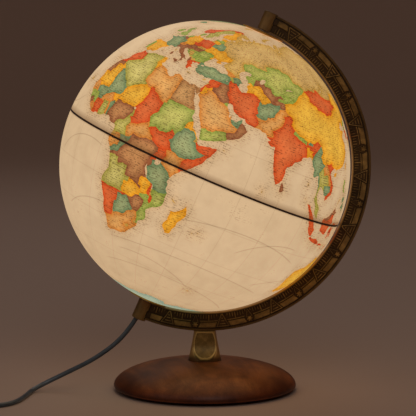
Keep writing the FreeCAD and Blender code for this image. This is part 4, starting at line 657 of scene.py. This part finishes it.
def globe_half(name, node, places, faces, face_colours, edge_distance, is_north):
    """Half of the globe's skin, 1.5 mm thick, with the map's colours on its outer side."""
    chosen = [i for i, face in enumerate(faces) if (sum(places[v][1] for v in face) > 0) == is_north]
    used = sorted({v for i in chosen for v in faces[i]})
    bm = bmesh.new()
    tint = bm.loops.layers.float_color.new("tint")
    rim = bm.loops.layers.float_color.new("rim")
    depth = bm.verts.layers.float.new("edge")
    place = bm.verts.layers.float_vector.new("place")
    verts, seam = {}, {}
    for v in used:
        lon, lat = places[v]
        key = (WEST if abs(lon - EAST) < 1e-3 else round(lon, 4), round(lat, 4))
        if key in seam:
            verts[v] = seam[key]
            continue
        way = direction(lon, lat)
        radius = JOINT_R if abs(lat) < 1e-3 else GLOBE_R
        made = bm.verts.new(CENTRE + TURN @ way * radius)
        made[depth] = edge_distance[v]
        made[place] = way
        verts[v] = seam[key] = made
    outer = []
    for i in chosen:
        corners = [verts[v] for v in faces[i]]
        if len(set(corners)) < 3:
            continue
        try:
            face = bm.faces.new(corners)
        except ValueError:
            continue
        face.smooth = True
        outer.append(face)
        middle, edge = (linear(*c) for c in PALETTE[face_colours[i]])
        for loop in face.loops:
            loop[tint] = middle
            loop[rim] = edge
    bm.normal_update()
    if sum(f.normal.dot(f.calc_center_median() - CENTRE) for f in outer) < 0:
        bmesh.ops.reverse_faces(bm, faces=outer)
    open_edges = [(e.verts[0], e.verts[1]) for e in bm.edges if e.is_boundary]
    inner = {}
    for vert in list(bm.verts):
        made = bm.verts.new(CENTRE + (vert.co - CENTRE).normalized() * INSIDE_R)
        made[place] = vert[place]
        made[depth] = FAR
        inner[vert] = made
    for face in outer:
        back = bm.faces.new([inner[v] for v in reversed(face.verts)])
        back.smooth = True
        back.material_index = 1
    for a, b in open_edges:
        owner = next(f for e in a.link_edges if b in e.verts for f in e.link_faces)
        corners = list(owner.verts)
        if corners[(corners.index(a) + 1) % len(corners)] is not b:
            a, b = b, a
        lip = bm.faces.new((b, a, inner[a], inner[b]))
        lip.material_index = 1
    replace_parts(add_mesh(name, bm, "globe", "globe_map", printed_map.material, globe_white.material), node)


# The print. "tint" and "rim" are a country's two colours, "edge" how many degrees away its border is, and
# "place" the way from the globe's centre in the globe's own axes.
printed_map = Shader("globe_print", Roughness=0.5, Specular_IOR_Level=0.2)


def paint_map(ink):
    place = ink.attribute("place", "Vector")
    split = ink.put("ShaderNodeSeparateXYZ", None, Vector=place)
    east, south, up = split.outputs
    lat = ink.sums("MULTIPLY", ink.sums("ARCSINE", up), 180 / math.pi)
    lon = ink.sums("MULTIPLY", ink.sums("ARCTAN2", east, ink.sums("MULTIPLY", south, -1)), 180 / math.pi)
    blotch = ink.noise(9, 5, 0.6, place)
    fine = ink.noise(38, 6, 0.7, place)
    edge = ink.sums("ADD", ink.attribute("edge"), ink.level(fine, 0.3, 0.7, -0.35, 0.35))
    tint = ink.attribute("tint", "Color")
    blue = ink.put("ShaderNodeSeparateColor", None, Color=tint).outputs[2]
    is_land = ink.level(blue, *LAND_BLUE, 1, 0)
    toward_rim = ink.sums("ADD", ink.level(edge, 5.2, 0.3, 0, 0.62), ink.level(edge, 1.5, 0.1, 0, 0.28))
    colour = ink.mix(ink.sums("POWER", toward_rim, 1.3), tint, ink.attribute("rim", "Color"))
    # watercolour mottling, and fine strokes as of hills
    mottling = ink.ramp(blotch, (0.3, (0.62, 0.56, 0.48)), (0.5, (0.95, 0.93, 0.9)), (0.72, (1.3, 1.27, 1.2)))
    colour = ink.mix(ink.level(is_land, 0, 1, 0.22, 0.5), colour, mottling, "MULTIPLY")
    strokes = ink.ramp(fine, (0.34, (0.66, 0.6, 0.52)), (0.52, (1, 1, 1)), (0.75, (1.12, 1.1, 1.06)))
    colour = ink.mix(ink.sums("MULTIPLY", is_land, 0.35), colour, strokes, "MULTIPLY")
    # rows of short dashes in place of small print
    near_coast = ink.level(edge, 4.2, 1.2, 0, 0.85)
    for spacing, size, low, amount, seed in PRINT_ROWS:
        # a row leans a little, as hand-set print does
        height = ink.sums("DIVIDE", ink.sums("ADD", lat, ink.level(blotch, 0.2, 0.8, -0.5, 0.5)), spacing)
        row = ink.sums("FLOOR", height)
        inside = ink.sums("FRACT", height)
        band = ink.sums("MULTIPLY", ink.level(inside, 0.2, 0.3), ink.level(inside, 0.68, 0.58))
        along = ink.put("ShaderNodeCombineXYZ", None, X=ink.sums("MULTIPLY", lon, size),
                        Y=ink.sums("MULTIPLY", row, 7.31), Z=seed).outputs[0]
        letters = ink.level(ink.noise(1.3, 1, 0.5, along), 0.5, 0.55)
        words = ink.put("ShaderNodeCombineXYZ", None, X=ink.sums("MULTIPLY", lon, 0.3),
                        Y=ink.sums("MULTIPLY", row, 3.7), Z=seed + 20).outputs[0]
        present = ink.level(ink.noise(1.0, 2, 0.5, words), low, low + 0.05)
        open_sea = ink.level(blotch, 0.6, 0.66, 0, 0.5)
        crowd = ink.sums("MAXIMUM", is_land, ink.sums("MAXIMUM", near_coast, open_sea))
        mark = ink.sums("MULTIPLY", ink.sums("MULTIPLY", band, letters), ink.sums("MULTIPLY", present, crowd))
        colour = ink.mix(ink.sums("MULTIPLY", mark, amount), colour, linear(70, 42, 22))
    # lines of longitude and latitude, and a few ocean currents
    for angle in (lat, lon):
        cell = ink.sums("FRACT", ink.sums("ADD", ink.sums("DIVIDE", angle, GRATICULE), 0.5))
        away = ink.sums("ABSOLUTE", ink.sums("SUBTRACT", cell, 0.5))
        colour = ink.mix(ink.level(away, 0.011, 0.006, 0, 0.2), colour, linear(120, 88, 56))
    for lon_c, lat_c, reach, lon_m, lat_m, part in CURRENTS:
        toward = ink.vector("DOT_PRODUCT", place, direction(lon_c, lat_c), output="Value")
        gap = ink.sums("ABSOLUTE", ink.sums("SUBTRACT", toward, math.cos(math.radians(reach))))
        width = math.sin(math.radians(reach)) * 0.0045
        here = ink.level(ink.vector("DOT_PRODUCT", place, direction(lon_m, lat_m), output="Value"),
                         math.cos(math.radians(part)), math.cos(math.radians(part * 0.9)))
        sea_only = ink.sums("MULTIPLY", here, ink.sums("SUBTRACT", 1, is_land))
        line = ink.sums("MULTIPLY", ink.level(gap, width, width * 0.5, 0, 0.3), sea_only)
        colour = ink.mix(line, colour, linear(112, 80, 50))
    # the shadow of the joint inside, just north of the equator
    shadow = ink.sums("MULTIPLY", ink.level(lat, 2.8, 0.4), ink.level(lat, -1.0, 0.2))
    colour = ink.mix(ink.sums("MULTIPLY", shadow, 0.6), colour, linear(112, 74, 40))
    colour = ink.mix(ink.level(blue, *JOINT_BLUE, 1, 0), colour, linear(38, 23, 14))
    # the lamp inside is brightest on the globe's middle, and the poles are a little darker
    glow = ink.ramp(ink.sums("ABSOLUTE", up), (0.0, (0.95, 0.94, 0.92)), (0.45, (1, 1, 1)),
                    (0.96, (0.9, 0.88, 0.84)))
    lit = ink.mix(1.0, colour, glow, "MULTIPLY")
    ink.feed(ink.bsdf, {"Base_Color": colour, "Emission_Color": lit, "Emission_Strength": 0.8})
    ink.bump(ink.noise(220, 2, 0.5, place), 0.00003, 0.3)


# The tint's blue tells land from sea, and the joint line from land.
LAND_BLUE = linear(130, 138)[:2]
JOINT_BLUE = linear(20, 30)[:2]
GRATICULE = 15                               # degrees between the lines of longitude and latitude
# Rows of dashes: degrees between rows, dashes' frequency, how much is left blank, darkness, and a seed.
PRINT_ROWS = ((0.86, 0.62, 0.36, 0.5, 3.1), (0.62, 1.5, 0.42, 0.4, 5.3), (1.9, 1.1, 0.6, 0.45, 9.7))
# Ocean currents: a circle's middle and radius in degrees, and the part of it that shows.
CURRENTS = ((75, -62, 48, 75, -16, 30), (60, -78, 44, 62, -36, 34), (38, -62, 22, 46, -42, 16),
            (98, -38, 25, 88, -16, 14), (16, -52, 27, 8, -26, 18), (122, -55, 28, 112, -30, 16),
            (52, -74, 28, 60, -48, 30), (0, -30, 26, -8, -6, 16), (-34, 28, 24, -34, 6, 16),
            (-150, 25, 40, -150, -12, 40), (-140, -35, 38, -140, 0, 40), (160, 20, 26, 160, -4, 20))
paint_map(printed_map)
globe_white = Shader("globe_inside_white", Roughness=0.6, Emission_Strength=0.5)
cloud = globe_white.ramp(globe_white.noise(30, 3), (0.3, linear(235, 210, 176)), (0.7, linear(248, 228, 198)))
globe_white.feed(globe_white.bsdf, {"Base_Color": cloud, "Emission_Color": cloud})

places, faces, walls = triangulated_map()
regions, real_borders = region_of_faces(faces, walls)
region_colours = colours_of_regions(places, faces, regions)
face_colours = [region_colours.get(region, "ochre") for region in regions]
for index, face in enumerate(faces):
    if all(abs(places[v][1]) < GROOVE + 1e-3 for v in face):
        face_colours[index] = "ink"
border_tree = kdtree.KDTree(2 * len(real_borders))
for index, key in enumerate(real_borders):
    start, end = (direction(*places[v]) for v in key)
    border_tree.insert(start, 2 * index)
    border_tree.insert((start + end) / 2, 2 * index + 1)
border_tree.balance()
edge_distance = [min(FAR, math.degrees(border_tree.find(direction(*p))[2])) for p in places]
for half, is_north in (("north", True), ("south", False)):
    globe_half(f"globe_skin_{half}", f"{half}_hemisphere", places, faces, face_colours, edge_distance, is_north)

lead_one = add_cord("lead_to_switch", ROUTE_TO_SWITCH, "stand", cable.material)
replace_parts(lead_one, "cord_to_switch")
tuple(ROUTE_TO_SWITCH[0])
lead_two = add_cord("lead_to_plug", ROUTE_TO_COIL + coil_turns()[1:-1] + ROUTE_TO_PLUG, "stand",
                    cable.material)
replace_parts(lead_two, "cord_to_coil", "cord_coil", "cord_to_plug")
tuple(ROUTE_TO_COIL[0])


# ---- finishes ----
walnut = Shader("walnut_stained", Specular_IOR_Level=0.3, Coat_Weight=0.1, Coat_Roughness=0.35)


def paint_walnut(wood):
    # the grain runs from front to back, a little askew, under a stain that took unevenly
    askew = wood.put("ShaderNodeMapping", None, Vector=wood.coords,
                     Rotation=(0, 0, math.radians(76))).outputs[0]
    along = wood.scaled((3, 26, 26), askew)
    grain = wood.noise(2.4, 6, 0.62, along, 0.35)
    pores = wood.noise(34, 4, 0.7, wood.scaled((1.6, 24, 24), askew))
    cloud = wood.noise(15, 4, 0.55, distortion=0.9)
    figure = wood.mix(0.4, grain, pores)
    colour = wood.ramp(figure, (0.3, linear(92, 48, 21)), (0.5, linear(134, 79, 39)),
                       (0.72, linear(170, 111, 61)))
    stain = wood.ramp(cloud, (0.32, (0.36, 0.3, 0.27)), (0.5, (0.8, 0.76, 0.72)), (0.7, (1.35, 1.28, 1.15)))
    colour = wood.mix(0.9, colour, stain, "MULTIPLY")
    height = wood.put("ShaderNodeSeparateXYZ", None, Vector=wood.coords).outputs[2]
    # painted light and shade on the lowest 2 cm of the base: darker towards the bottom as painted shade, with a
    # thin light line at the lip as a painted highlight and a dark line just above it as painted shade
    low = wood.ramp(wood.level(height, 0.002, 0.022), (0.05, (0.36, 0.2, 0.15)), (0.11, (1.0, 0.76, 0.62)),
                    (0.18, (0.36, 0.22, 0.17)), (0.34, (0.66, 0.47, 0.38)), (1.0, (1, 1, 1)))
    wood.feed(wood.bsdf, {"Base_Color": wood.mix(1.0, colour, low, "MULTIPLY"),
                          "Roughness": wood.level(pores, 0.3, 0.75, 0.42, 0.56)})
    wood.bump(figure, 0.00012, 0.5)


paint_walnut(walnut)


def bronze_finish(name, dark, mid, bright, gold, recess=None, hollows=1.0):
    """Antique bronze: brown in the hollows, olive and gold where hands rub it. The hollows' brown is patina
    with painted shade on top, an ambient-occlusion darkening. recess changes the colour by the place on the
    piece, and hollows is how much the hollows darken."""
    metal = Shader(name, Metallic=0.45, Roughness=0.4)
    patina = metal.noise(120, 5, 0.65)
    wear = metal.noise(34, 4, 0.6)
    colour = metal.ramp(patina, (0.28, linear(*dark)), (0.5, linear(*mid)), (0.74, linear(*bright)))
    tarnish = metal.ramp(wear, (0.3, (0.55, 0.5, 0.44)), (0.7, (1.25, 1.2, 1.05)))
    colour = metal.mix(0.7, colour, tarnish, "MULTIPLY")
    # painted shade: ambient occlusion darkens the hollows and the creases beside raised parts, on top of the
    # patina
    near = metal.put("ShaderNodeAmbientOcclusion", {"samples": 8}, Distance=0.0025).outputs["AO"]
    shade = metal.ramp(near, (0.32, (0.16, 0.12, 0.09)), (0.78, (1, 1, 1)))
    colour = metal.mix(hollows, colour, shade, "MULTIPLY")
    worn = metal.put("ShaderNodeAmbientOcclusion", {"samples": 8, "inside": True, "only_local": True},
                     Distance=0.0011).outputs["AO"]
    rubbed = metal.sums("MULTIPLY", metal.level(worn, 0.42, 0.9), metal.level(wear, 0.35, 0.6, 0.45, 0.9))
    colour = metal.mix(rubbed, colour, linear(*gold))
    if recess:
        colour = recess(metal, colour)
    metal.feed(metal.bsdf, {"Base_Color": colour, "Roughness": metal.level(patina, 0.3, 0.7, 0.34, 0.56)})
    metal.bump(metal.noise(420, 4, 0.6), 0.00018, 0.5)
    return metal.material


def arm_recess(metal, colour):
    """The arm's two rims stay bronze: the outer one darkened as painted shade, the inner one painted light gold
    as a painted highlight. All between them is dark.
    """
    reach = metal.radius_about(CENTRE, (0, 1, 0))
    inner, outer = metal.level(reach, 0.1539, 0.1533), metal.level(reach, 0.1690, 0.1696)
    dark = metal.mix(1.0, colour, (0.2, 0.16, 0.12, 1), "MULTIPLY")
    # painted shade: the outer rim darkened a little; the field between the rims stays dark
    colour = metal.mix(outer, dark, metal.mix(1.0, colour, (0.6, 0.54, 0.48, 1), "MULTIPLY"))
    # painted highlight: the inner rim painted light gold
    return metal.mix(inner, colour, linear(150, 118, 70))


def stem_foot_shade(metal, colour):
    """The lowest few millimetres of the stem are darker: painted shade where the stem stands on the base."""
    height = metal.put("ShaderNodeSeparateXYZ", None, Vector=metal.coords).outputs[2]
    dark = metal.mix(1.0, colour, (0.3, 0.24, 0.2, 1), "MULTIPLY")
    return metal.mix(metal.level(height, 0.034, 0.038), dark, colour)


arm_bronze = bronze_finish("bronze_arm", (46, 34, 18), (84, 66, 36), (130, 105, 62), (172, 139, 84), arm_recess)
relief_bronze = bronze_finish("bronze_relief", (86, 66, 34), (138, 110, 62), (190, 154, 90), (218, 178, 110))
tick_bronze = bronze_finish("bronze_ticks", (104, 82, 44), (148, 118, 66), (188, 152, 88), (204, 166, 98),
                            hollows=0.2)
stem_bronze = bronze_finish("bronze_stem", (72, 54, 30), (116, 88, 48), (166, 130, 74), (206, 164, 98),
                            stem_foot_shade)
block_bronze = bronze_finish("bronze_blocks", (48, 37, 20), (78, 61, 33), (124, 97, 56), (164, 128, 76))
shield_brass = bronze_finish("brass_shield", (96, 77, 40), (134, 110, 60), (180, 150, 90), (224, 188, 118))


def plain_finish(name, low, high, scale=80.0, bump=0.00006, grain=500, **settings):
    """A finish for a small part: two tones mixed by a noise, and a fine grain."""
    shader = Shader(name, **settings)
    tone = shader.noise(scale, 4)
    shader.feed(shader.bsdf, {"Base_Color": shader.ramp(tone, (0.3, linear(*low)), (0.7, linear(*high)))})
    shader.bump(shader.noise(grain, 2), bump, 0.5)
    return shader.material


dial_gold = Shader("dial_gold", Metallic=0.2, Roughness=0.36)


def paint_dial(gold):
    reach = gold.radius_about(CENTRE, TURN @ Vector((0, 0, 1)))
    base = gold.ramp(gold.noise(90, 4), (0.3, linear(186, 132, 56)), (0.7, linear(236, 184, 96)))
    rings = gold.ramp(gold.level(reach, 0.005, 0.022), (0.0, (0.5, 0.4, 0.3)), (0.3, (1, 1, 1)),
                      (0.62, (1, 1, 1)), (0.66, (0.2, 0.14, 0.08)), (0.70, (1, 1, 1)), (0.9, (1, 1, 1)),
                      (0.97, (1.12, 1.04, 0.66)))
    gold.feed(gold.bsdf, {"Base_Color": gold.mix(1.0, base, rings, "MULTIPLY")})
    gold.bump(gold.noise(500, 2), 0.00005, 0.4)


paint_dial(dial_gold)
FINISHES = {
    walnut.material: ["base_disc"],
    arm_bronze: ["meridian_arm"],
    stem_bronze: ["stem"],
    block_bronze: ["upper_pivot_block", "lower_pivot_block"],
    shield_brass: ["front_shield", "rear_shield"],
    dial_gold.material: ["hour_dial", "south_cap"],
    plain_finish("felt", (18, 18, 20), (38, 38, 41), 900, 0.0004, 1800, Roughness=0.95, Sheen_Weight=0.3): [
        "felt_pad"],
    plain_finish("zinc_steel", (150, 150, 150), (190, 190, 188), 120, Metallic=1.0, Roughness=0.34): [
        "stem_bolt", "stem_washer", "pivot_screw", "thrust_washer", "lamp_tube", "tube_nut", "switch_screws"],
    plain_finish("nickel", (186, 180, 170), (216, 210, 200), 60, Metallic=1.0, Roughness=0.2): [
        "bulb_cap", "plug_pins"],
    plain_finish("thermoset", (24, 24, 24), (44, 44, 44), 200, Roughness=0.4): ["holder_cap", "lamp_holder"],
    plain_finish("bush_nylon", (206, 200, 188), (230, 226, 214), 60, Roughness=0.5): [
        "north_bush", "equator_ring"],
    plain_finish("glass", (240, 236, 226), (250, 248, 240), 20, 0, Roughness=0.05, Transmission_Weight=1.0,
                 IOR=1.46): [
        "bulb_glass"],
    plain_finish("mica", (205, 200, 190), (226, 222, 212), 60, Roughness=0.3): ["filament_mount"],
    plain_finish("filament_glow", (255, 205, 120), (255, 222, 150), 60, Roughness=0.5, Emission_Strength=6.0,
                 Emission_Color=linear(255, 205, 130)): ["led_filaments"],
    plain_finish("lead_inside", (30, 31, 34), (52, 53, 57), Roughness=0.42): ["lamp_lead"],
    plain_finish("strap", (22, 22, 24), (40, 40, 43), 300, 0.0001, 900, Roughness=0.6): ["coil_tie"],
    plain_finish("case_plastic", (22, 22, 24), (38, 38, 41), 150, 0.0001, 1400, Roughness=0.5): [
        "switch_lower", "switch_upper", "plug_body", "plug_sleeve"],
    plain_finish("rocker_plastic", (16, 16, 18), (28, 28, 31), 150, 0.00003, 700, Roughness=0.22): [
        "switch_rocker"],
}
for finish, names in FINISHES.items():
    for node_name in names:
        for row in NODES[node_name].material_slots:
            row.material = finish


# ---- the arm's relief ----
def arm_point(radius, polar, side, height):
    """A place on the arm: radius in mm from the globe's centre, polar degrees from the north pole, and
    height in mm from the arm's middle plane, on the front (side -1) or the back (side 1)."""
    angle = math.radians(polar)
    outward = TURN @ Vector((math.sin(angle), 0, math.cos(angle)))
    return CENTRE + outward * (radius * MM) + Vector((0, side * height * MM, 0))


def shrunk(outline, amount):
    """A convex outline of (radius, polar) pairs, drawn in by amount mm on every side."""
    flat = [Vector((math.radians(polar) * 162, radius)) for radius, polar in outline]
    middle = sum(flat, Vector((0, 0))) / len(flat)
    out = []
    for i, corner in enumerate(flat):
        before, after = (flat[i - 1] - corner).normalized(), (flat[(i + 1) % len(flat)] - corner).normalized()
        bisector = before + after
        if bisector.length < 1e-3:
            bisector = middle - corner
        bisector.normalize()
        half = math.acos(max(-1, min(1, before.dot(after)))) / 2
        moved = corner + bisector * min(amount / max(math.sin(half), 0.2), 6 * amount)
        out.append((moved.y, math.degrees(moved.x / 162)))
    return out


def raise_plate(bm, outline, side, low, high, bevel=0.18):
    """A raised plate with a bevelled edge on the arm's side."""
    rings = [[bm.verts.new(arm_point(r, p, side, low)) for r, p in outline],
             [bm.verts.new(arm_point(r, p, side, high - bevel)) for r, p in outline],
             [bm.verts.new(arm_point(r, p, side, high)) for r, p in shrunk(outline, bevel)]]
    count = len(outline)
    for lower, upper in zip(rings, rings[1:]):
        for i in range(count):
            bm.faces.new((lower[i], lower[(i + 1) % count], upper[(i + 1) % count], upper[i]))
    bm.faces.new(rings[-1])
    bm.faces.new(rings[0][::-1])


def raise_frame(bm, outline, side, low, high, width):
    """A raised border round an outline, with a ridge along its middle."""
    rings = [[bm.verts.new(arm_point(r, p, side, height)) for r, p in shrunk(outline, inset)]
             for inset, height in ((0, low), (0.12, high - 0.1), (width * 0.3, high), (width * 0.7, high),
                                   (width - 0.1, high - 0.1), (width, low))]
    count = len(outline)
    for lower, upper in zip(rings, rings[1:] + rings[:1]):
        for i in range(count):
            bm.faces.new((lower[i], lower[(i + 1) % count], upper[(i + 1) % count], upper[i]))


def arc_outline(inner, outer, start, end, slant_start=0.0, slant_end=0.0, steps=8):
    """A bar along the arm whose ends lean by the two slants, in degrees."""
    low = [(inner, start + (end - start) * i / steps) for i in range(steps + 1)]
    start, end = start + slant_start, end + slant_end
    high = [(outer, start + (end - start) * i / steps) for i in range(steps + 1)]
    return low + high[::-1]


# Radii in mm, and heights from the arm's middle plane: the CAD recess lies at 4.5 and its relief at 5.6.
TIP, TICK_END, LONG_TICK_END, SHORT_TICK_END = 154.5, 158.6, 160.6, 156.6
BAR_IN, BAR_OUT, BEAD_IN, BEAD_OUT = 162.7, 167.8, 160.9, 161.7
ROSETTE = 165
WEDGES, POINTERS = range(10, 171, 20), range(20, 161, 20)


def rosette_ring(pointer, count, reach, middle_r=ROSETTE, middle_p=None):
    """A small round outline near a pointer's rosette."""
    middle_p = pointer if middle_p is None else middle_p
    turns = [math.tau * i / count for i in range(count)]
    return [(middle_r + reach * math.sin(turn), middle_p + math.degrees(reach * math.cos(turn) / ROSETTE))
            for turn in turns]


bars, ticks = bmesh.new(), bmesh.new()
for side in (-1, 1):
    for degree in range(4, 177):
        to_wedge = min(abs(degree - wedge) for wedge in WEDGES)
        to_pointer = min(abs(degree - pointer) for pointer in POINTERS)
        if to_wedge < 1.5 or to_pointer < 1:
            continue
        half, end = (0.13, TICK_END) if degree % 5 else (0.2, LONG_TICK_END)
        if to_wedge < 2.5 or to_pointer < 1.5:
            end = SHORT_TICK_END
        raise_plate(ticks, [(TIP, degree - half), (TIP, degree + half), (end, degree + half * 0.8),
                            (end, degree - half * 0.8)], side, 4.4, 5.35, 0.12)
    for wedge in WEDGES:
        half = 2.42
        raise_plate(bars, [(155.2, wedge - 0.3), (155.2, wedge + 0.3), (167.4, wedge + half - 0.2),
                           (167.4, wedge - half + 0.2)], side, 5.5, 5.95, 0.1)
        raise_frame(bars, [(TIP, wedge - 0.32), (TIP, wedge + 0.32), (167.9, wedge + half),
                           (167.9, wedge - half)], side, 5.9, 6.45, 1.0)
        for reach in (158.4, 161.2, 164.2):
            spread = (reach - 156) * 0.13
            raise_plate(bars, [(reach, wedge - spread), (reach + 1.1, wedge - spread),
                               (reach + 1.1, wedge + spread), (reach, wedge + spread)], side, 5.9, 6.2, 0.12)
    for pointer in POINTERS:
        raise_frame(bars, [(154.7, pointer - 0.2), (154.7, pointer + 0.2), (163.0, pointer + 1.16),
                           (163.0, pointer - 1.16)], side, 5.6, 6.05, 0.55)
        for reach, top in ((1.9, 6.55), (0.8, 6.8)):
            raise_plate(bars, rosette_ring(pointer, 8, reach), side, 5.9, top, 0.3)
        for petal in range(6):
            turn = math.tau * petal / 6
            petal_p = pointer + math.degrees(2.15 * math.cos(turn) / ROSETTE)
            raise_plate(bars, rosette_ring(pointer, 6, 0.75, ROSETTE + 2.15 * math.sin(turn), petal_p),
                        side, 5.9, 6.4, 0.25)
    for start in range(10, 161, 10):
        # the ends next to a wedge lean more than those next to a pointer
        low, high = start + 2.0, start + 8.0
        slants = (0.75, 0.7) if start in WEDGES else (-0.7, -0.75)
        raise_plate(bars, arc_outline(BEAD_IN, BEAD_OUT, low - 0.35, high + 0.35), side, 4.4, 6.0, 0.15)
        raise_plate(bars, arc_outline(BAR_IN, BAR_OUT, low, high, *slants), side, 5.5, 6.25, 0.22)
    for start, end, slants in ((3.6, 7.9, (0, -0.75)), (172.1, 176.4, (0.75, 0))):
        raise_plate(bars, arc_outline(162.5, BAR_OUT, start, end, *slants), side, 5.5, 6.25, 0.22)
for bm in (bars, ticks):
    bmesh.ops.recalc_face_normals(bm, faces=bm.faces)
add_mesh("arm_relief", bars, "stand", "bronze", relief_bronze)
add_mesh("arm_ticks", ticks, "stand", "bronze", tick_bronze)
